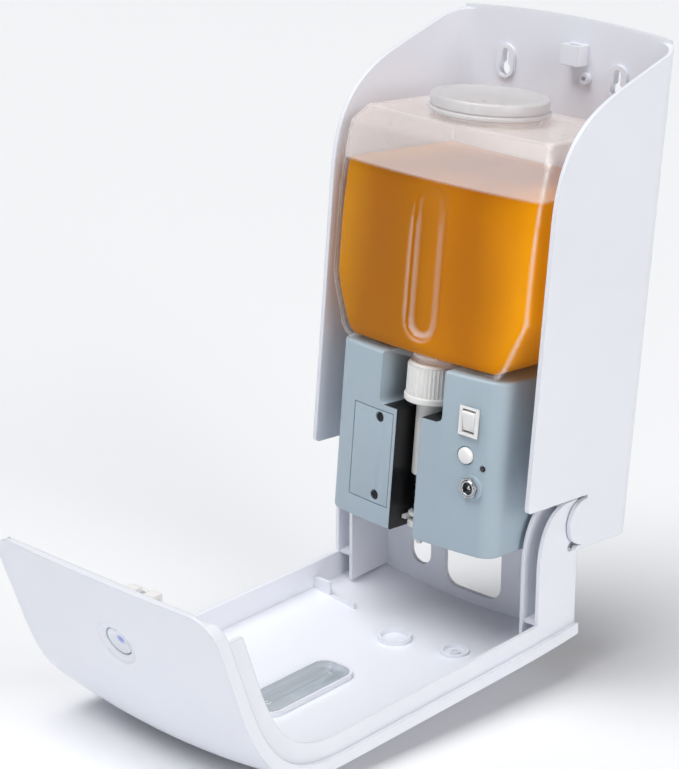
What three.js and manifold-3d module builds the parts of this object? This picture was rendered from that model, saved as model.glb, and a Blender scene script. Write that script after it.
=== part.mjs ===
import * as THREE from "three";
import { mergeVertices } from "three/addons/utils/BufferGeometryUtils.js";
import Module from "manifold-3d";

// Frame: X to the right, Y towards the wall, Z up. The wall plane is y = 0.
// Lengths are millimetres.
const width = 136;
const sideDepth = 90;
const sheet = 2.2;
const backSheet = 2.6;
const rearCornerRadius = 14;
const baseZ = -120;
const plateTopZ = 121;
const plateArch = 3.8;
const wallBottomZ = -92.5;
const notch = { y: -43, z: -106, radius: 11.8 };
const keyholeX = 34;
const keyholeZ = 97.5;
const post = { x: 40, low: -102, high: -52, radius: 4.5 };
const postHeights = [post.high, post.low];
const screwBoss = { x: 15.2, z: 96.6 };

// Front cover.
const hinge = { y: -49.1, z: -118.7 };
const openAngle = 95.26;
const coverBottomZ = -124.3;
const coverFrontY = -98;
const coverBow = 6.4;
const lipDepth = 6;
const flangeDepth = 15.5;
const flangeX = 65.2;
const armInnerX = 54;
const pinRadius = 2.2;
const lockTilt = 19.9;
const lock = { y: -35.4, z: 117.2, radius: 7 };
const latchX = 9.5;
const rimY = -0.6;
const rimCorner = 9;
const rib = { z0: -78, z1: -76.2 };
const rings = [
  { x: -2, z: -68, outer: 8.5, inner: 6.9, height: 3.2 },
  { x: 31, z: -74.5, outer: 7.2, inner: 5.6, height: 2.4 },
];
const floorSlots = [
  { x: -31, half: 6.5, y0: -89, y1: -64 },
  { x: 3, half: 18, y0: -94.5, y1: -60 },
  { x: 42, half: 6.5, y0: -91, y1: -66 },
];
const glass = { z: 4, halfWidth: 8, halfHeight: 27.5, radius: 6 };

// Drive unit.
const unitHalf = 51;
const unitFrontY = -94;
const unitBow = 5.5;
const unitBackY = -52;
const unitTopZ = -33;
const recessHalf = 19.5;
const recessFloorZ = -58.6;
const channelHalf = 7.5;
const channelBackY = -73.5;
const skin = 2;
const rockerAt = { x: 35, z: -54 };
const doseAt = { x: 34, z: -71 };
const ledAt = { x: 43.5, z: -75.5 };
const jackAt = { x: 38, z: -86 };
const door = { x0: -36, x1: -9.8, z0: -109, z1: -62 };
const doorScrewX = -18.5;
const doorScrewHigh = -65.4;
const doorScrewLow = -105;
const eyeY = -84;
const eyes = { left: -29, right: 42 };
const cellX = [-28.6, -17.4];
const cellY = [-88.5, -78.2];

// Pump and bottle.
const pumpY = -84;
const bottleHalf = 60;
const bottleFloorZ = -32.5;
const bottleTopZ = 80;
const bottleWall = 1.6;
const bottleBow = 5;
const fillZ = 54;
const capAt = { y: -57, z: 84, radius: 29.3 };
const rackPitchY = -74.6;
const pinionPitch = 7;
const pinionZ = -88;

const wasm = await Module();
wasm.setup();

const paint = {
  coolWhite: { color: 0xe6eaf2, roughness: 0.35, metalness: 0 },
  blueGrey: { color: 0xa0b2bd, roughness: 0.42, metalness: 0 },
  softWhite: { color: 0xe8e8e4, roughness: 0.4, metalness: 0 },
  clearPlastic: { color: 0xdcd8d6, roughness: 0.2, metalness: 0 },
  amber: { color: 0xd8890a, roughness: 0.1, metalness: 0 },
  black: { color: 0x141416, roughness: 0.3, metalness: 0 },
  steel: { color: 0xb8bcc0, roughness: 0.25, metalness: 1 },
  brass: { color: 0xc9a24a, roughness: 0.3, metalness: 1 },
  board: { color: 0x1f5a3a, roughness: 0.5, metalness: 0 },
  seal: { color: 0xc8c8c4, roughness: 0.7, metalness: 0 },
  cell: { color: 0x3c4a58, roughness: 0.35, metalness: 0.4 },
};

const model = new THREE.Group();
model.name = "wall_soap_dispenser";

// ---- solids and booleans ----
function toSolid(geometry) {
  geometry.deleteAttribute("normal");
  geometry.deleteAttribute("uv");
  const merged = mergeVertices(geometry, 1e-4);
  const mesh = new wasm.Mesh({
    numProp: 3,
    vertProperties: new Float32Array(merged.attributes.position.array),
    triVerts: new Uint32Array(merged.index.array),
  });
  return new wasm.Manifold(mesh);
}

function fromSolid(solid) {
  const mesh = solid.getMesh();
  const geometry = new THREE.BufferGeometry();
  geometry.setAttribute("position", new THREE.BufferAttribute(mesh.vertProperties, 3));
  geometry.setIndex(new THREE.BufferAttribute(mesh.triVerts, 1));
  geometry.computeVertexNormals();
  return geometry;
}

function piece(name, solid, finish) {
  const material = new THREE.MeshStandardMaterial(finish);
  const mesh = new THREE.Mesh(fromSolid(solid), material);
  mesh.name = name;
  model.add(mesh);
  return mesh;
}

function join(parts) {
  return parts.reduce((whole, part) => whole.add(part));
}

function cut(body, tools) {
  return tools.reduce((left, tool) => left.subtract(tool), body);
}

// A box given by its low and high corners.
function block(x0, x1, y0, y1, z0, z1) {
  const geometry = new THREE.BoxGeometry(x1 - x0, y1 - y0, z1 - z0);
  geometry.translate((x0 + x1) / 2, (y0 + y1) / 2, (z0 + z1) / 2);
  return toSolid(geometry);
}

// A round bar along Y from y0 to y1.
function barY(x, z, radius, y0, y1, sides = 20) {
  const geometry = new THREE.CylinderGeometry(radius, radius, y1 - y0, sides);
  geometry.translate(x, (y0 + y1) / 2, z);
  return toSolid(geometry);
}

function barZ(x, y, radius, z0, z1, sides = 24) {
  const geometry = new THREE.CylinderGeometry(radius, radius, z1 - z0, sides);
  geometry.rotateX(Math.PI / 2);
  geometry.translate(x, y, (z0 + z1) / 2);
  return toSolid(geometry);
}

function barX(y, z, radius, x0, x1, sides = 18) {
  const geometry = new THREE.CylinderGeometry(radius, radius, x1 - x0, sides);
  geometry.rotateZ(Math.PI / 2);
  geometry.translate((x0 + x1) / 2, y, z);
  return toSolid(geometry);
}

// Extrudes a closed outline of [y, z] points along X.
function slabX(points, x0, x1, steps = 1) {
  const shape = new THREE.Shape(points.map(([y, z]) => new THREE.Vector2(y, z)));
  const options = { depth: x1 - x0, steps, bevelEnabled: false };
  const geometry = new THREE.ExtrudeGeometry(shape, options);
  const basis = new THREE.Matrix4();
  basis.makeBasis(
    new THREE.Vector3(0, 1, 0),
    new THREE.Vector3(0, 0, 1),
    new THREE.Vector3(1, 0, 0)
  );
  geometry.applyMatrix4(basis);
  geometry.translate(x0, 0, 0);
  return geometry;
}

// Extrudes a closed outline of [x, z] points along Y.
function slabY(points, y0, y1) {
  const shape = new THREE.Shape(points.map(([x, z]) => new THREE.Vector2(x, -z)));
  const geometry = new THREE.ExtrudeGeometry(shape, { depth: y1 - y0, bevelEnabled: false });
  geometry.rotateX(-Math.PI / 2);
  geometry.translate(0, y0, 0);
  return toSolid(geometry);
}

// Extrudes a closed outline of [x, y] points along Z.
function slabZ(points, z0, z1) {
  const shape = new THREE.Shape(points.map(([x, y]) => new THREE.Vector2(x, y)));
  const geometry = new THREE.ExtrudeGeometry(shape, { depth: z1 - z0, bevelEnabled: false });
  geometry.translate(0, 0, z0);
  return toSolid(geometry);
}

// A rounded upright slot outline in X and Z.
function stadium(x, z, halfWidth, halfHeight, radius, parts = 4) {
  const shape = [];
  const corners = [
    [1, 1, 0],
    [-1, 1, 90],
    [-1, -1, 180],
    [1, -1, 270],
  ];
  for (const [sx, sz, start] of corners) {
    for (let i = 0; i <= parts; i += 1) {
      const a = THREE.MathUtils.degToRad(start + (90 * i) / parts);
      const cx = x + sx * (halfWidth - radius);
      const cz = z + sz * (halfHeight - radius);
      shape.push([cx + radius * Math.cos(a), cz + radius * Math.sin(a)]);
    }
  }
  return shape;
}

// Pushes a solid's front forward most at the middle and not at all at the sides.
function bow(geometry, amount, half) {
  const position = geometry.attributes.position;
  for (let i = 0; i < position.count; i += 1) {
    const t = Math.min(1, Math.abs(position.getX(i)) / half);
    position.setY(i, position.getY(i) - amount * (1 - t * t));
  }
  return toSolid(geometry);
}

// ---- back housing ----
function housingSide() {
  const path = new THREE.Path();
  path.moveTo(0, 130);
  path.lineTo(-backSheet, 130);
  path.lineTo(-backSheet, plateTopZ - 0.8);
  path.lineTo(-42, 105.5);
  path.bezierCurveTo(-70, 95, -sideDepth, 84, -sideDepth, 44);
  path.lineTo(-sideDepth, wallBottomZ + 2);
  path.lineTo(-sideDepth + 2, wallBottomZ);
  path.lineTo(notch.y, wallBottomZ);
  path.lineTo(notch.y, notch.z + notch.radius);
  path.absarc(notch.y, notch.z, notch.radius, Math.PI / 2, -Math.PI / 2, true);
  path.lineTo(-48, notch.z - notch.radius);
  path.lineTo(-49.5, baseZ + 1.1);
  path.lineTo(-48, baseZ);
  path.lineTo(-6, baseZ);
  path.quadraticCurveTo(0, baseZ, 0, baseZ + 6);
  return path.getPoints(10).map((p) => [p.x, p.y]);
}

function housingPlan(inset) {
  const half = width / 2 - inset;
  const back = inset > 0 ? -backSheet : 0;
  const radius = rearCornerRadius - inset;
  const path = new THREE.Path();
  path.moveTo(half, -sideDepth - 5);
  path.lineTo(half, back - radius);
  path.absarc(half - radius, back - radius, radius, 0, Math.PI / 2, false);
  path.lineTo(-half + radius, back);
  path.absarc(-half + radius, back - radius, radius, Math.PI / 2, Math.PI, false);
  path.lineTo(-half, -sideDepth - 5);
  return path.getPoints(6).map((p) => [p.x, p.y]);
}

function housingFront() {
  const half = width / 2 + 1;
  const points = [
    [half, baseZ - 1],
    [half, plateTopZ - 7],
    [half - 3, plateTopZ - 2],
  ];
  for (let i = -8; i <= 8; i += 1) {
    const x = (-i / 8) * (half - 7);
    const t = x / half;
    points.push([x, plateTopZ + plateArch * (1 - t * t)]);
  }
  points.push([-half + 3, plateTopZ - 2]);
  points.push([-half, plateTopZ - 7]);
  points.push([-half, baseZ - 1]);
  return points;
}

function keyholeCut(x) {
  const round = barY(x, keyholeZ - 3.5, 3.6, -6, 1);
  const slot = block(x - 2, x + 2, -6, 1, keyholeZ - 3.5, keyholeZ + 4);
  return [round, slot, barY(x, keyholeZ + 4, 2, -6, 1)];
}

function hingeRib(side) {
  const h = hinge;
  const outline = [
    [-1.5, -66],
    [-1.5, -102],
    [h.y + 2, h.z - 4.2],
    [h.y - 4.4, h.z - 1],
    [h.y - 4.4, -98],
    [-30, -80],
  ];
  const x0 = side > 0 ? 57.8 : -61.4;
  const rib = toSolid(slabX(outline.reverse(), x0, x0 + 3.6));
  return rib.add(barX(h.y, h.z, 5, x0, x0 + 3.6));
}

function backHousing() {
  const outer = slabZ(housingPlan(0), baseZ, 130);
  const inner = slabZ(housingPlan(sheet), baseZ - 1, 131);
  const side = toSolid(slabX(housingSide(), -width / 2 - 1, width / 2 + 1));
  const front = slabY(housingFront(), -sideDepth - 10, 5);
  let body = outer.subtract(inner).intersect(side).intersect(front);
  const extras = [hingeRib(1), hingeRib(-1)];
  for (const x of [-keyholeX, keyholeX]) {
    extras.push(slabY(stadium(x, keyholeZ, 5.5, 8.5, 5.4), -4.2, -2));
  }
  for (const x of [-post.x, post.x]) {
    for (const z of postHeights) {
      extras.push(barY(x, z, post.radius, unitBackY + 2.4, -1.5));
    }
  }
  extras.push(block(latchX - 5.3, latchX + 5.3, -11.2, -2, 102.5, 112.5));
  extras.push(barY(screwBoss.x, screwBoss.z, 3, -5.5, -2));
  extras.push(block(-50, 50, -12, -2, baseZ, baseZ + 2.4));
  body = join([body, ...extras]);
  const tools = [];
  for (const x of [-keyholeX, keyholeX]) {
    tools.push(...keyholeCut(x));
  }
  for (const x of [-post.x, post.x]) {
    for (const z of postHeights) {
      tools.push(barY(x, z, 1.35, unitBackY - 1, -38));
    }
  }
  tools.push(block(latchX - 3.6, latchX + 3.6, -9.4, -4.6, 105, 114));
  tools.push(barY(screwBoss.x, screwBoss.z, 1.2, -8, 1));
  tools.push(barX(hinge.y, hinge.z, pinRadius + 0.06, -64, 64));
  return cut(body, tools);
}

// ---- front cover, drawn closed and then swung open about the hinge ----
function coverProfile() {
  const path = new THREE.Path();
  path.moveTo(12, 132.4);
  path.lineTo(-45, 111.8);
  path.bezierCurveTo(-75, 101, coverFrontY, 88, coverFrontY, 45);
  path.lineTo(coverFrontY, -70);
  path.quadraticCurveTo(coverFrontY, -100, coverFrontY + 1.7, coverBottomZ);
  return path.getPoints(8).map((p) => [p.x, p.y]);
}

// The same line moved inwards by a distance.
function inward(points, distance) {
  return points.map((p, i) => {
    const a = points[Math.max(0, i - 1)];
    const b = points[Math.min(points.length - 1, i + 1)];
    const length = Math.hypot(b[0] - a[0], b[1] - a[1]);
    const ny = -(b[1] - a[1]) / length;
    const nz = (b[0] - a[0]) / length;
    return [p[0] + ny * distance, p[1] + nz * distance];
  });
}

function shellBand(x0, x1, from, to) {
  const line = coverProfile();
  const outer = inward(line, from);
  const inner = inward(line, to);
  const outline = outer.concat(inner.reverse());
  return bow(slabX(outline, x0, x1, 12), coverBow, width / 2);
}

function armOutline() {
  const path = new THREE.Path();
  path.moveTo(-96, coverBottomZ);
  path.lineTo(-27, coverBottomZ);
  path.quadraticCurveTo(-25, coverBottomZ, -25, coverBottomZ + 2);
  path.lineTo(-25, -114);
  path.bezierCurveTo(-26, -103, -35, -95, -56, -94.9);
  path.lineTo(-96, -94.9);
  return path.getPoints(5).map((p) => [p.x, p.y]);
}

function coverSlots() {
  return floorSlots.map(({ x, half, y0, y1 }) => {
    const radius = Math.min(half, 8) - 0.05;
    const outline = stadium(x, (y0 + y1) / 2, half, (y1 - y0) / 2, radius);
    return slabZ(outline, coverBottomZ - 3, coverBottomZ + 3);
  });
}

function lockFrame(geometry) {
  geometry.rotateX(THREE.MathUtils.degToRad(lockTilt));
  geometry.translate(0, lock.y, lock.z);
  return geometry;
}

// A disc along the cover's outward direction at the lock.
function lockDisc(radius, low, high) {
  const geometry = new THREE.CylinderGeometry(radius, radius, high - low, 32);
  geometry.rotateX(Math.PI / 2);
  geometry.translate(0, 0, (low + high) / 2);
  return toSolid(lockFrame(geometry));
}

// Plan of the cover's rear rim, with rounded corners.
function rimPlan() {
  const half = width / 2;
  const y = rimY - rimCorner;
  const path = new THREE.Path();
  path.moveTo(half, coverFrontY - 10);
  path.lineTo(half, y);
  path.absarc(half - rimCorner, y, rimCorner, 0, Math.PI / 2, false);
  path.lineTo(rimCorner - half, rimY);
  path.absarc(rimCorner - half, y, rimCorner, Math.PI / 2, Math.PI, false);
  path.lineTo(-half, coverFrontY - 10);
  return path.getPoints(5).map((p) => [p.x, p.y]);
}

// Height of the cover's inner face in the closed cover's own Y direction.
function floorAt(x) {
  return coverFrontY - coverBow * (1 - (x / (width / 2)) ** 2) + 1.5;
}

function frontCover() {
  const big = 200;
  const skinBand = shellBand(-width / 2, width / 2, 0, lipDepth);
  const flangeBand = shellBand(-flangeX, flangeX, 2.4, flangeDepth);
  const cavityBand = shellBand(-flangeX + 2, flangeX - 2, sheet, flangeDepth + 8);
  const behindPlate = block(-big, big, -3.4, big, -big, plateTopZ + plateArch + 0.8);
  const lip = cut(skinBand.intersect(slabZ(rimPlan(), coverBottomZ, big)), [behindPlate]);
  const flange = flangeBand.intersect(block(-big, big, -big, -14.5, coverBottomZ, big));
  const deep = shellBand(-flangeX + 2, flangeX - 2, 4.5, flangeDepth + 8);
  const cavity = cavityBand.intersect(block(-big, big, -big, -13, coverBottomZ + sheet, big));
  const mouth = deep.intersect(block(-big, big, -14, big, 60, big));
  let body = cut(lip.add(flange), [cavity, mouth]);
  const extras = [];
  for (const side of [-1, 1]) {
    const outerX = side > 0 ? flangeX - 2 : -flangeX;
    const innerX = side > 0 ? armInnerX : -armInnerX - 2;
    extras.push(toSolid(slabX(armOutline(), outerX, outerX + 2)));
    extras.push(toSolid(slabX(armOutline(), innerX, innerX + 2)));
    const x0 = side > 0 ? armInnerX + 1 : -flangeX + 1;
    const x1 = side > 0 ? flangeX - 1 : -armInnerX - 1;
    extras.push(block(x0, x1, -96, -56, coverBottomZ, coverBottomZ + sheet));
    extras.push(block(x0, x1, -84, -82, coverBottomZ, -96));
  }
  extras.push(block(-armInnerX - 1, armInnerX + 1, -96, -51, coverBottomZ, coverBottomZ + sheet));
  for (const { x, z, outer, height } of rings) {
    extras.push(barY(x, z, outer, floorAt(x), floorAt(x) + height));
  }
  extras.push(block(-64, -52.5, -99.5, -91, rib.z0, rib.z1));
  extras.push(block(-53, -36, -102, -97.8, rib.z0, rib.z1));
  extras.push(lockDisc(9.6, -7, -1.2));
  const { z, halfWidth, halfHeight, radius } = glass;
  const frame = stadium(0, z, halfWidth + 3.5, halfHeight + 3.5, radius + 2);
  extras.push(slabY(frame, floorAt(0), floorAt(0) + 3.4));
  body = join([body, ...extras]);
  const tools = coverSlots();
  for (const ring of rings) {
    tools.push(barY(ring.x, ring.z, ring.inner, floorAt(ring.x) + 0.6, -80));
  }
  tools.push(lockDisc(lock.radius + 0.3, -8, 6));
  tools.push(slabY(stadium(0, z, halfWidth, halfHeight, radius), -110, -80));
  const rebate = stadium(0, z, halfWidth + 2.3, halfHeight + 2.3, radius + 1);
  tools.push(slabY(rebate, floorAt(0) + 1.4, -80));
  tools.push(barX(hinge.y, hinge.z, pinRadius + 0.06, -70, 70));
  return cut(body, tools);
}

function levelWindow() {
  const floorY = floorAt(0);
  const { z, halfWidth, halfHeight, radius } = glass;
  const wide = stadium(0, z, halfWidth + 2, halfHeight + 2, radius + 0.8);
  const narrow = stadium(0, z, halfWidth - 0.3, halfHeight - 0.3, radius - 0.2);
  const plate = slabY(wide, floorY + 1.7, floorY + 3.4);
  const nose = slabY(narrow, floorY - 1.2, floorY + 2);
  return plate.add(nose);
}

function latchSlider() {
  const x0 = latchX - 2.9;
  const x1 = latchX + 2.9;
  return join([
    block(-5, x1, -42, -14.5, 101.5, 103.5),
    block(x0, x1, -15.5, -13.5, 101.5, 118.6),
    block(x0, x1, -15.5, -6.4, 116.6, 118.6),
    block(x0, x1, -8.4, -6.4, 113.4, 118.6),
    block(-3, 3, -37, -33, 103, 105.6),
  ]);
}

function hingePin(side) {
  const x0 = side > 0 ? 52.4 : -65.4;
  const x1 = side > 0 ? 65.4 : -52.4;
  const head = side > 0 ? [52.2, 53.7] : [-53.7, -52.2];
  const bar = barX(hinge.y, hinge.z, pinRadius, x0, x1);
  return bar.add(barX(hinge.y, hinge.z, 3.6, head[0], head[1]));
}

function buildCover() {
  const meshes = [
    piece("front_cover", frontCover(), paint.coolWhite),
    piece("level_window", levelWindow(), paint.clearPlastic),
    piece("lock_button", lockDisc(lock.radius, -8.2, -1.4), paint.softWhite),
    piece("latch_slider", latchSlider(), paint.softWhite),
    piece("hinge_pin_left", hingePin(-1), paint.steel),
    piece("hinge_pin_right", hingePin(1), paint.steel),
  ];
  const swing = new THREE.Matrix4();
  swing.makeTranslation(0, -hinge.y, -hinge.z);
  swing.premultiply(new THREE.Matrix4().makeRotationX(THREE.MathUtils.degToRad(openAngle)));
  swing.premultiply(new THREE.Matrix4().makeTranslation(0, hinge.y, hinge.z));
  for (const mesh of meshes) {
    mesh.geometry.applyMatrix4(swing);
  }
}

// ---- drive unit ----
function unitFront(x, inset) {
  return unitFrontY - unitBow * (1 - (x / unitHalf) ** 2) + inset;
}

function unitPlan(inset, backY) {
  const half = unitHalf - inset;
  const radius = 8 - inset;
  const points = [[half, backY]];
  const edge = half - radius;
  const start = unitFront(half, inset) + radius;
  for (let i = 0; i <= 6; i += 1) {
    const a = (Math.PI / 2) * (i / 6);
    const drop = unitFront(edge, inset) - unitFront(half, inset);
    const y = start - radius * Math.sin(a) + drop * (i / 6);
    points.push([edge + radius * Math.cos(a), y]);
  }
  for (let i = 1; i < 12; i += 1) {
    const x = edge * (1 - i / 6);
    points.push([x, unitFront(x, inset)]);
  }
  const mirrored = points.slice(0, 8).map(([x, y]) => [-x, y]);
  return points.concat(mirrored.reverse()).reverse();
}

function unitShell() {
  const outer = slabZ(unitPlan(0, unitBackY), baseZ, unitTopZ);
  const inner = slabZ(unitPlan(skin, unitBackY + 5), baseZ + skin, unitTopZ - skin);
  const recessWall = block(-recessHalf - skin, recessHalf + skin, -120, -67, recessFloorZ - skin, 0);
  const channelWall = block(-channelHalf - skin, channelHalf + skin, -120, channelBackY + skin, -130, 0);
  const hollow = cut(inner, [recessWall, channelWall]);
  let body = cut(outer, [
    hollow,
    block(-recessHalf, recessHalf, -120, -69, recessFloorZ, 0),
    block(-channelHalf, channelHalf, -120, channelBackY, -130, 0),
  ]);
  const ringFront = unitFront(jackAt.x, -0.9);
  body = body.add(barY(jackAt.x, jackAt.z, 6.4, ringFront, ringFront + 2.5));
  const gap = 0.35;
  return cut(body, [
    block(door.x0 - gap, door.x1 + gap, -105, -90, door.z0 - gap, door.z1 + gap),
    block(rockerAt.x - 4.9, rockerAt.x + 4.9, -105, -88, rockerAt.z - 6.4, rockerAt.z + 6.4),
    barY(doseAt.x, doseAt.z, 4.5, -105, -88),
    barY(ledAt.x, ledAt.z, 1.4, -105, -88, 16),
    barY(jackAt.x, jackAt.z, 4.3, -105, -88),
    barZ(eyes.left, eyeY, 5.6, baseZ - 2, baseZ + 4),
    barZ(eyes.right, eyeY, 5.6, baseZ - 2, baseZ + 4),
    block(-3.6, 3.6, -76, -68, pinionZ - 10, pinionZ + 10),
  ]);
}

function unitDoor() {
  const outer = slabZ(unitPlan(0, unitBackY), door.z0, door.z1);
  const inner = slabZ(unitPlan(skin, unitBackY), door.z0 - 1, door.z1 + 1);
  const window = block(door.x0, door.x1, -105, -90, door.z0, door.z1);
  const plate = outer.subtract(inner).intersect(window);
  const tools = [];
  for (const z of [doorScrewHigh, doorScrewLow]) {
    tools.push(barY(doorScrewX, z, 1.5, -105, -90, 20));
    tools.push(barY(doorScrewX, z, 2.6, -105, unitFront(doorScrewX, 0.8), 20));
  }
  return cut(plate, tools);
}

function doorScrew(z) {
  const x = doorScrewX;
  const face = unitFront(x, 0.2);
  const head = barY(x, z, 2.3, face, face + 0.55, 20);
  const slot = block(x - 1.7, x + 1.7, face - 1, face + 0.3, z - 0.3, z + 0.3);
  return head.subtract(slot).add(barY(x, z, 1.2, face + 0.4, face + 5, 20));
}

function unitBackPlate() {
  const plate = block(-50.5, 50.5, unitBackY + 0.2, unitBackY + 2, baseZ + 0.4, unitTopZ - 0.4);
  const tools = [];
  for (const x of [-post.x, post.x]) {
    for (const z of postHeights) {
      tools.push(barY(x, z, 1.8, unitBackY - 1, unitBackY + 4));
    }
  }
  return cut(plate, tools);
}

function unitScrew(x, z) {
  const head = barY(x, z, 3, unitBackY - 2.2, unitBackY, 20);
  return head.add(barY(x, z, 1.25, unitBackY - 0.5, unitBackY + 12, 20));
}

function cellTray() {
  const back = -71.5;
  const tray = block(-35.5, -10.5, -94, back, -110.5, -61);
  return tray.subtract(block(-34.2, -11.8, -95, back - 1.4, -109, -62));
}

function cellBody(x, y) {
  const can = barZ(x, y, 5.05, -106.6, -63.6, 24);
  return can.add(barZ(x, y, 1.9, -64, -62.9, 16));
}

function controlBoard() {
  const parts = [block(22, 47.5, -90, -88.4, -108, -40), block(14, 23, -90, -88.4, -108, -62)];
  parts.push(block(doseAt.x - 3, doseAt.x + 3, -91.4, -89.6, doseAt.z - 3, doseAt.z + 3));
  parts.push(block(17, 26, -91.6, -89.6, -80, -71));
  parts.push(barY(22, -100, 3.2, -95, -89.6, 20));
  parts.push(block(ledAt.x - 1.6, ledAt.x + 1.6, -90.9, -89.6, ledAt.z - 1.6, ledAt.z + 1.6));
  return join(parts);
}

function switchBody() {
  const r = rockerAt;
  const face = unitFront(r.x - 5.6, -0.85);
  const flange = block(r.x - 5.6, r.x + 5.6, face, face + 0.7, r.z - 7.1, r.z + 7.1);
  const can = block(r.x - 4.6, r.x + 4.6, face + 0.3, -90.3, r.z - 6.1, r.z + 6.1);
  return flange.add(can).subtract(block(r.x - 3.9, r.x + 3.9, -105, -91, r.z - 5.9, r.z + 5.9));
}

function powerRocker() {
  const r = rockerAt;
  const outline = [
    [-99.5, r.z + 4.9],
    [-98.7, r.z + 0.4],
    [-97.6, r.z - 4.9],
    [-94, r.z - 4.9],
    [-93.2, r.z],
    [-94, r.z + 4.9],
  ];
  return toSolid(slabX(outline, r.x - 3.6, r.x + 3.6));
}

function dcJack() {
  const j = jackAt;
  const barrel = barY(j.x, j.z, 4, -98.9, -91);
  const bore = barY(j.x, j.z, 2.9, -100, -92.5);
  return barrel.subtract(bore).add(barY(j.x, j.z, 1, -98, -91.5, 16));
}

function jackNut() {
  const j = jackAt;
  return barY(j.x, j.z, 5.3, -98.5, -97.55, 6).subtract(barY(j.x, j.z, 4.1, -100, -90));
}

function sensorLens(x) {
  const rim = barZ(x, eyeY, 5.2, baseZ - 1.5, baseZ + 5);
  return rim.subtract(barZ(x, eyeY, 3.4, baseZ - 3, baseZ - 0.7));
}

// Outline of a spur gear with involute flanks, in its own plane.
function gearOutline(teeth, modulus, addendum, backlash) {
  const pitch = (teeth * modulus) / 2;
  const base = pitch * Math.cos(THREE.MathUtils.degToRad(20));
  const outer = pitch + addendum * modulus;
  const root = pitch - (addendum + 0.25) * modulus;
  const involute = (radius) => {
    const angle = Math.acos(Math.min(1, base / radius));
    return Math.tan(angle) - angle;
  };
  const half = Math.PI / (2 * teeth) - backlash / (2 * pitch) + involute(pitch);
  const points = [];
  for (let i = 0; i < teeth; i += 1) {
    const centre = (2 * Math.PI * i) / teeth;
    const flank = [];
    for (let k = 0; k <= 4; k += 1) {
      const start = Math.max(base, root);
      const radius = start + ((outer - start) * k) / 4;
      flank.push([radius, half - involute(radius)]);
    }
    points.push([root, centre - half - 0.01]);
    flank.forEach(([radius, a]) => points.push([radius, centre - a]));
    flank.reverse().forEach(([radius, a]) => points.push([radius, centre + a]));
    points.push([root, centre + half + 0.01]);
  }
  return points.map(([radius, a]) => [radius * Math.cos(a), radius * Math.sin(a)]);
}

function rackPinion() {
  const centreY = rackPitchY + pinionPitch;
  const outline = gearOutline(14, 1, 0.7, 0.3).map(([y, z]) => [centreY + y, pinionZ + z]);
  const gear = toSolid(slabX(outline, -2.4, 2.4));
  return gear.add(barX(centreY, pinionZ, 2, 2, 12, 20));
}

function gearMotor() {
  const y = rackPitchY + pinionPitch;
  const caseBox = block(10.2, 20, y - 8, y + 8, pinionZ - 9, pinionZ + 11);
  const can = barX(y, pinionZ, 8, 19, 45);
  const boss = barX(y, pinionZ, 1.8, 44, 47, 16);
  return join([caseBox, can, boss]).subtract(barX(y, pinionZ, 2.2, 9, 13, 20));
}

// White carrier: a rack bar behind the pump with a fork round its nozzle.
function liftSlider() {
  const parts = [block(-2.9, 2.9, -77.2, rackPitchY - 0.95, -115.4, -70)];
  const pitch = Math.PI;
  const tip = rackPitchY + 0.7;
  const root = rackPitchY - 0.97;
  for (let i = -4; i <= 4; i += 1) {
    const z = pinionZ + (i + 0.5) * pitch;
    const outline = [
      [root, z - 1.0],
      [tip, z - 0.39],
      [tip, z + 0.39],
      [root, z + 1.0],
    ];
    parts.push(toSolid(slabX(outline.reverse(), -2.4, 2.4)));
  }
  const fork = block(-6.9, 6.9, -90.5, -76, -115.4, -113.6);
  const mouth = block(-4.4, 4.4, -95, pumpY, -118, -110);
  return join([...parts, fork.subtract(mouth).subtract(barZ(0, pumpY, 4.4, -118, -110))]);
}

function buildDriveUnit() {
  piece("drive_shell", unitShell(), paint.blueGrey);
  piece("drive_back_plate", unitBackPlate(), paint.blueGrey);
  piece("battery_door", unitDoor(), paint.blueGrey);
  piece("door_screw_upper", doorScrew(doorScrewHigh), paint.steel);
  piece("door_screw_lower", doorScrew(doorScrewLow), paint.steel);
  piece("cell_tray", cellTray(), paint.black);
  let cellNumber = 1;
  for (const x of cellX) {
    for (const y of cellY) {
      piece(`cell_${cellNumber}`, cellBody(x, y), paint.cell);
      cellNumber += 1;
    }
  }
  piece("contact_upper", block(-33.9, -12.1, -94, -73, -62.7, -62.2), paint.brass);
  piece("contact_lower", block(-33.9, -12.1, -94, -73, -108.8, -108.3), paint.brass);
  let screwNumber = 1;
  for (const x of [-post.x, post.x]) {
    for (const z of postHeights) {
      piece(`unit_screw_${screwNumber}`, unitScrew(x, z), paint.steel);
      screwNumber += 1;
    }
  }
  piece("control_board", controlBoard(), paint.board);
  piece("switch_body", switchBody(), paint.softWhite);
  piece("power_rocker", powerRocker(), paint.softWhite);
  piece("dose_button", barY(doseAt.x, doseAt.z, 4.1, -98.8, -92.9), paint.softWhite);
  piece("status_led", barY(ledAt.x, ledAt.z, 1.1, -95.9, -91.2, 16), paint.black);
  piece("dc_jack", dcJack(), paint.steel);
  piece("dc_jack_nut", jackNut(), paint.steel);
  piece("sensor_lens_left", sensorLens(eyes.left), paint.black);
  piece("sensor_lens_right", sensorLens(eyes.right), paint.black);
  piece("gear_motor", gearMotor(), paint.steel);
  piece("rack_pinion", rackPinion(), paint.softWhite);
  piece("lift_slider", liftSlider(), paint.softWhite);
}

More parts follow.
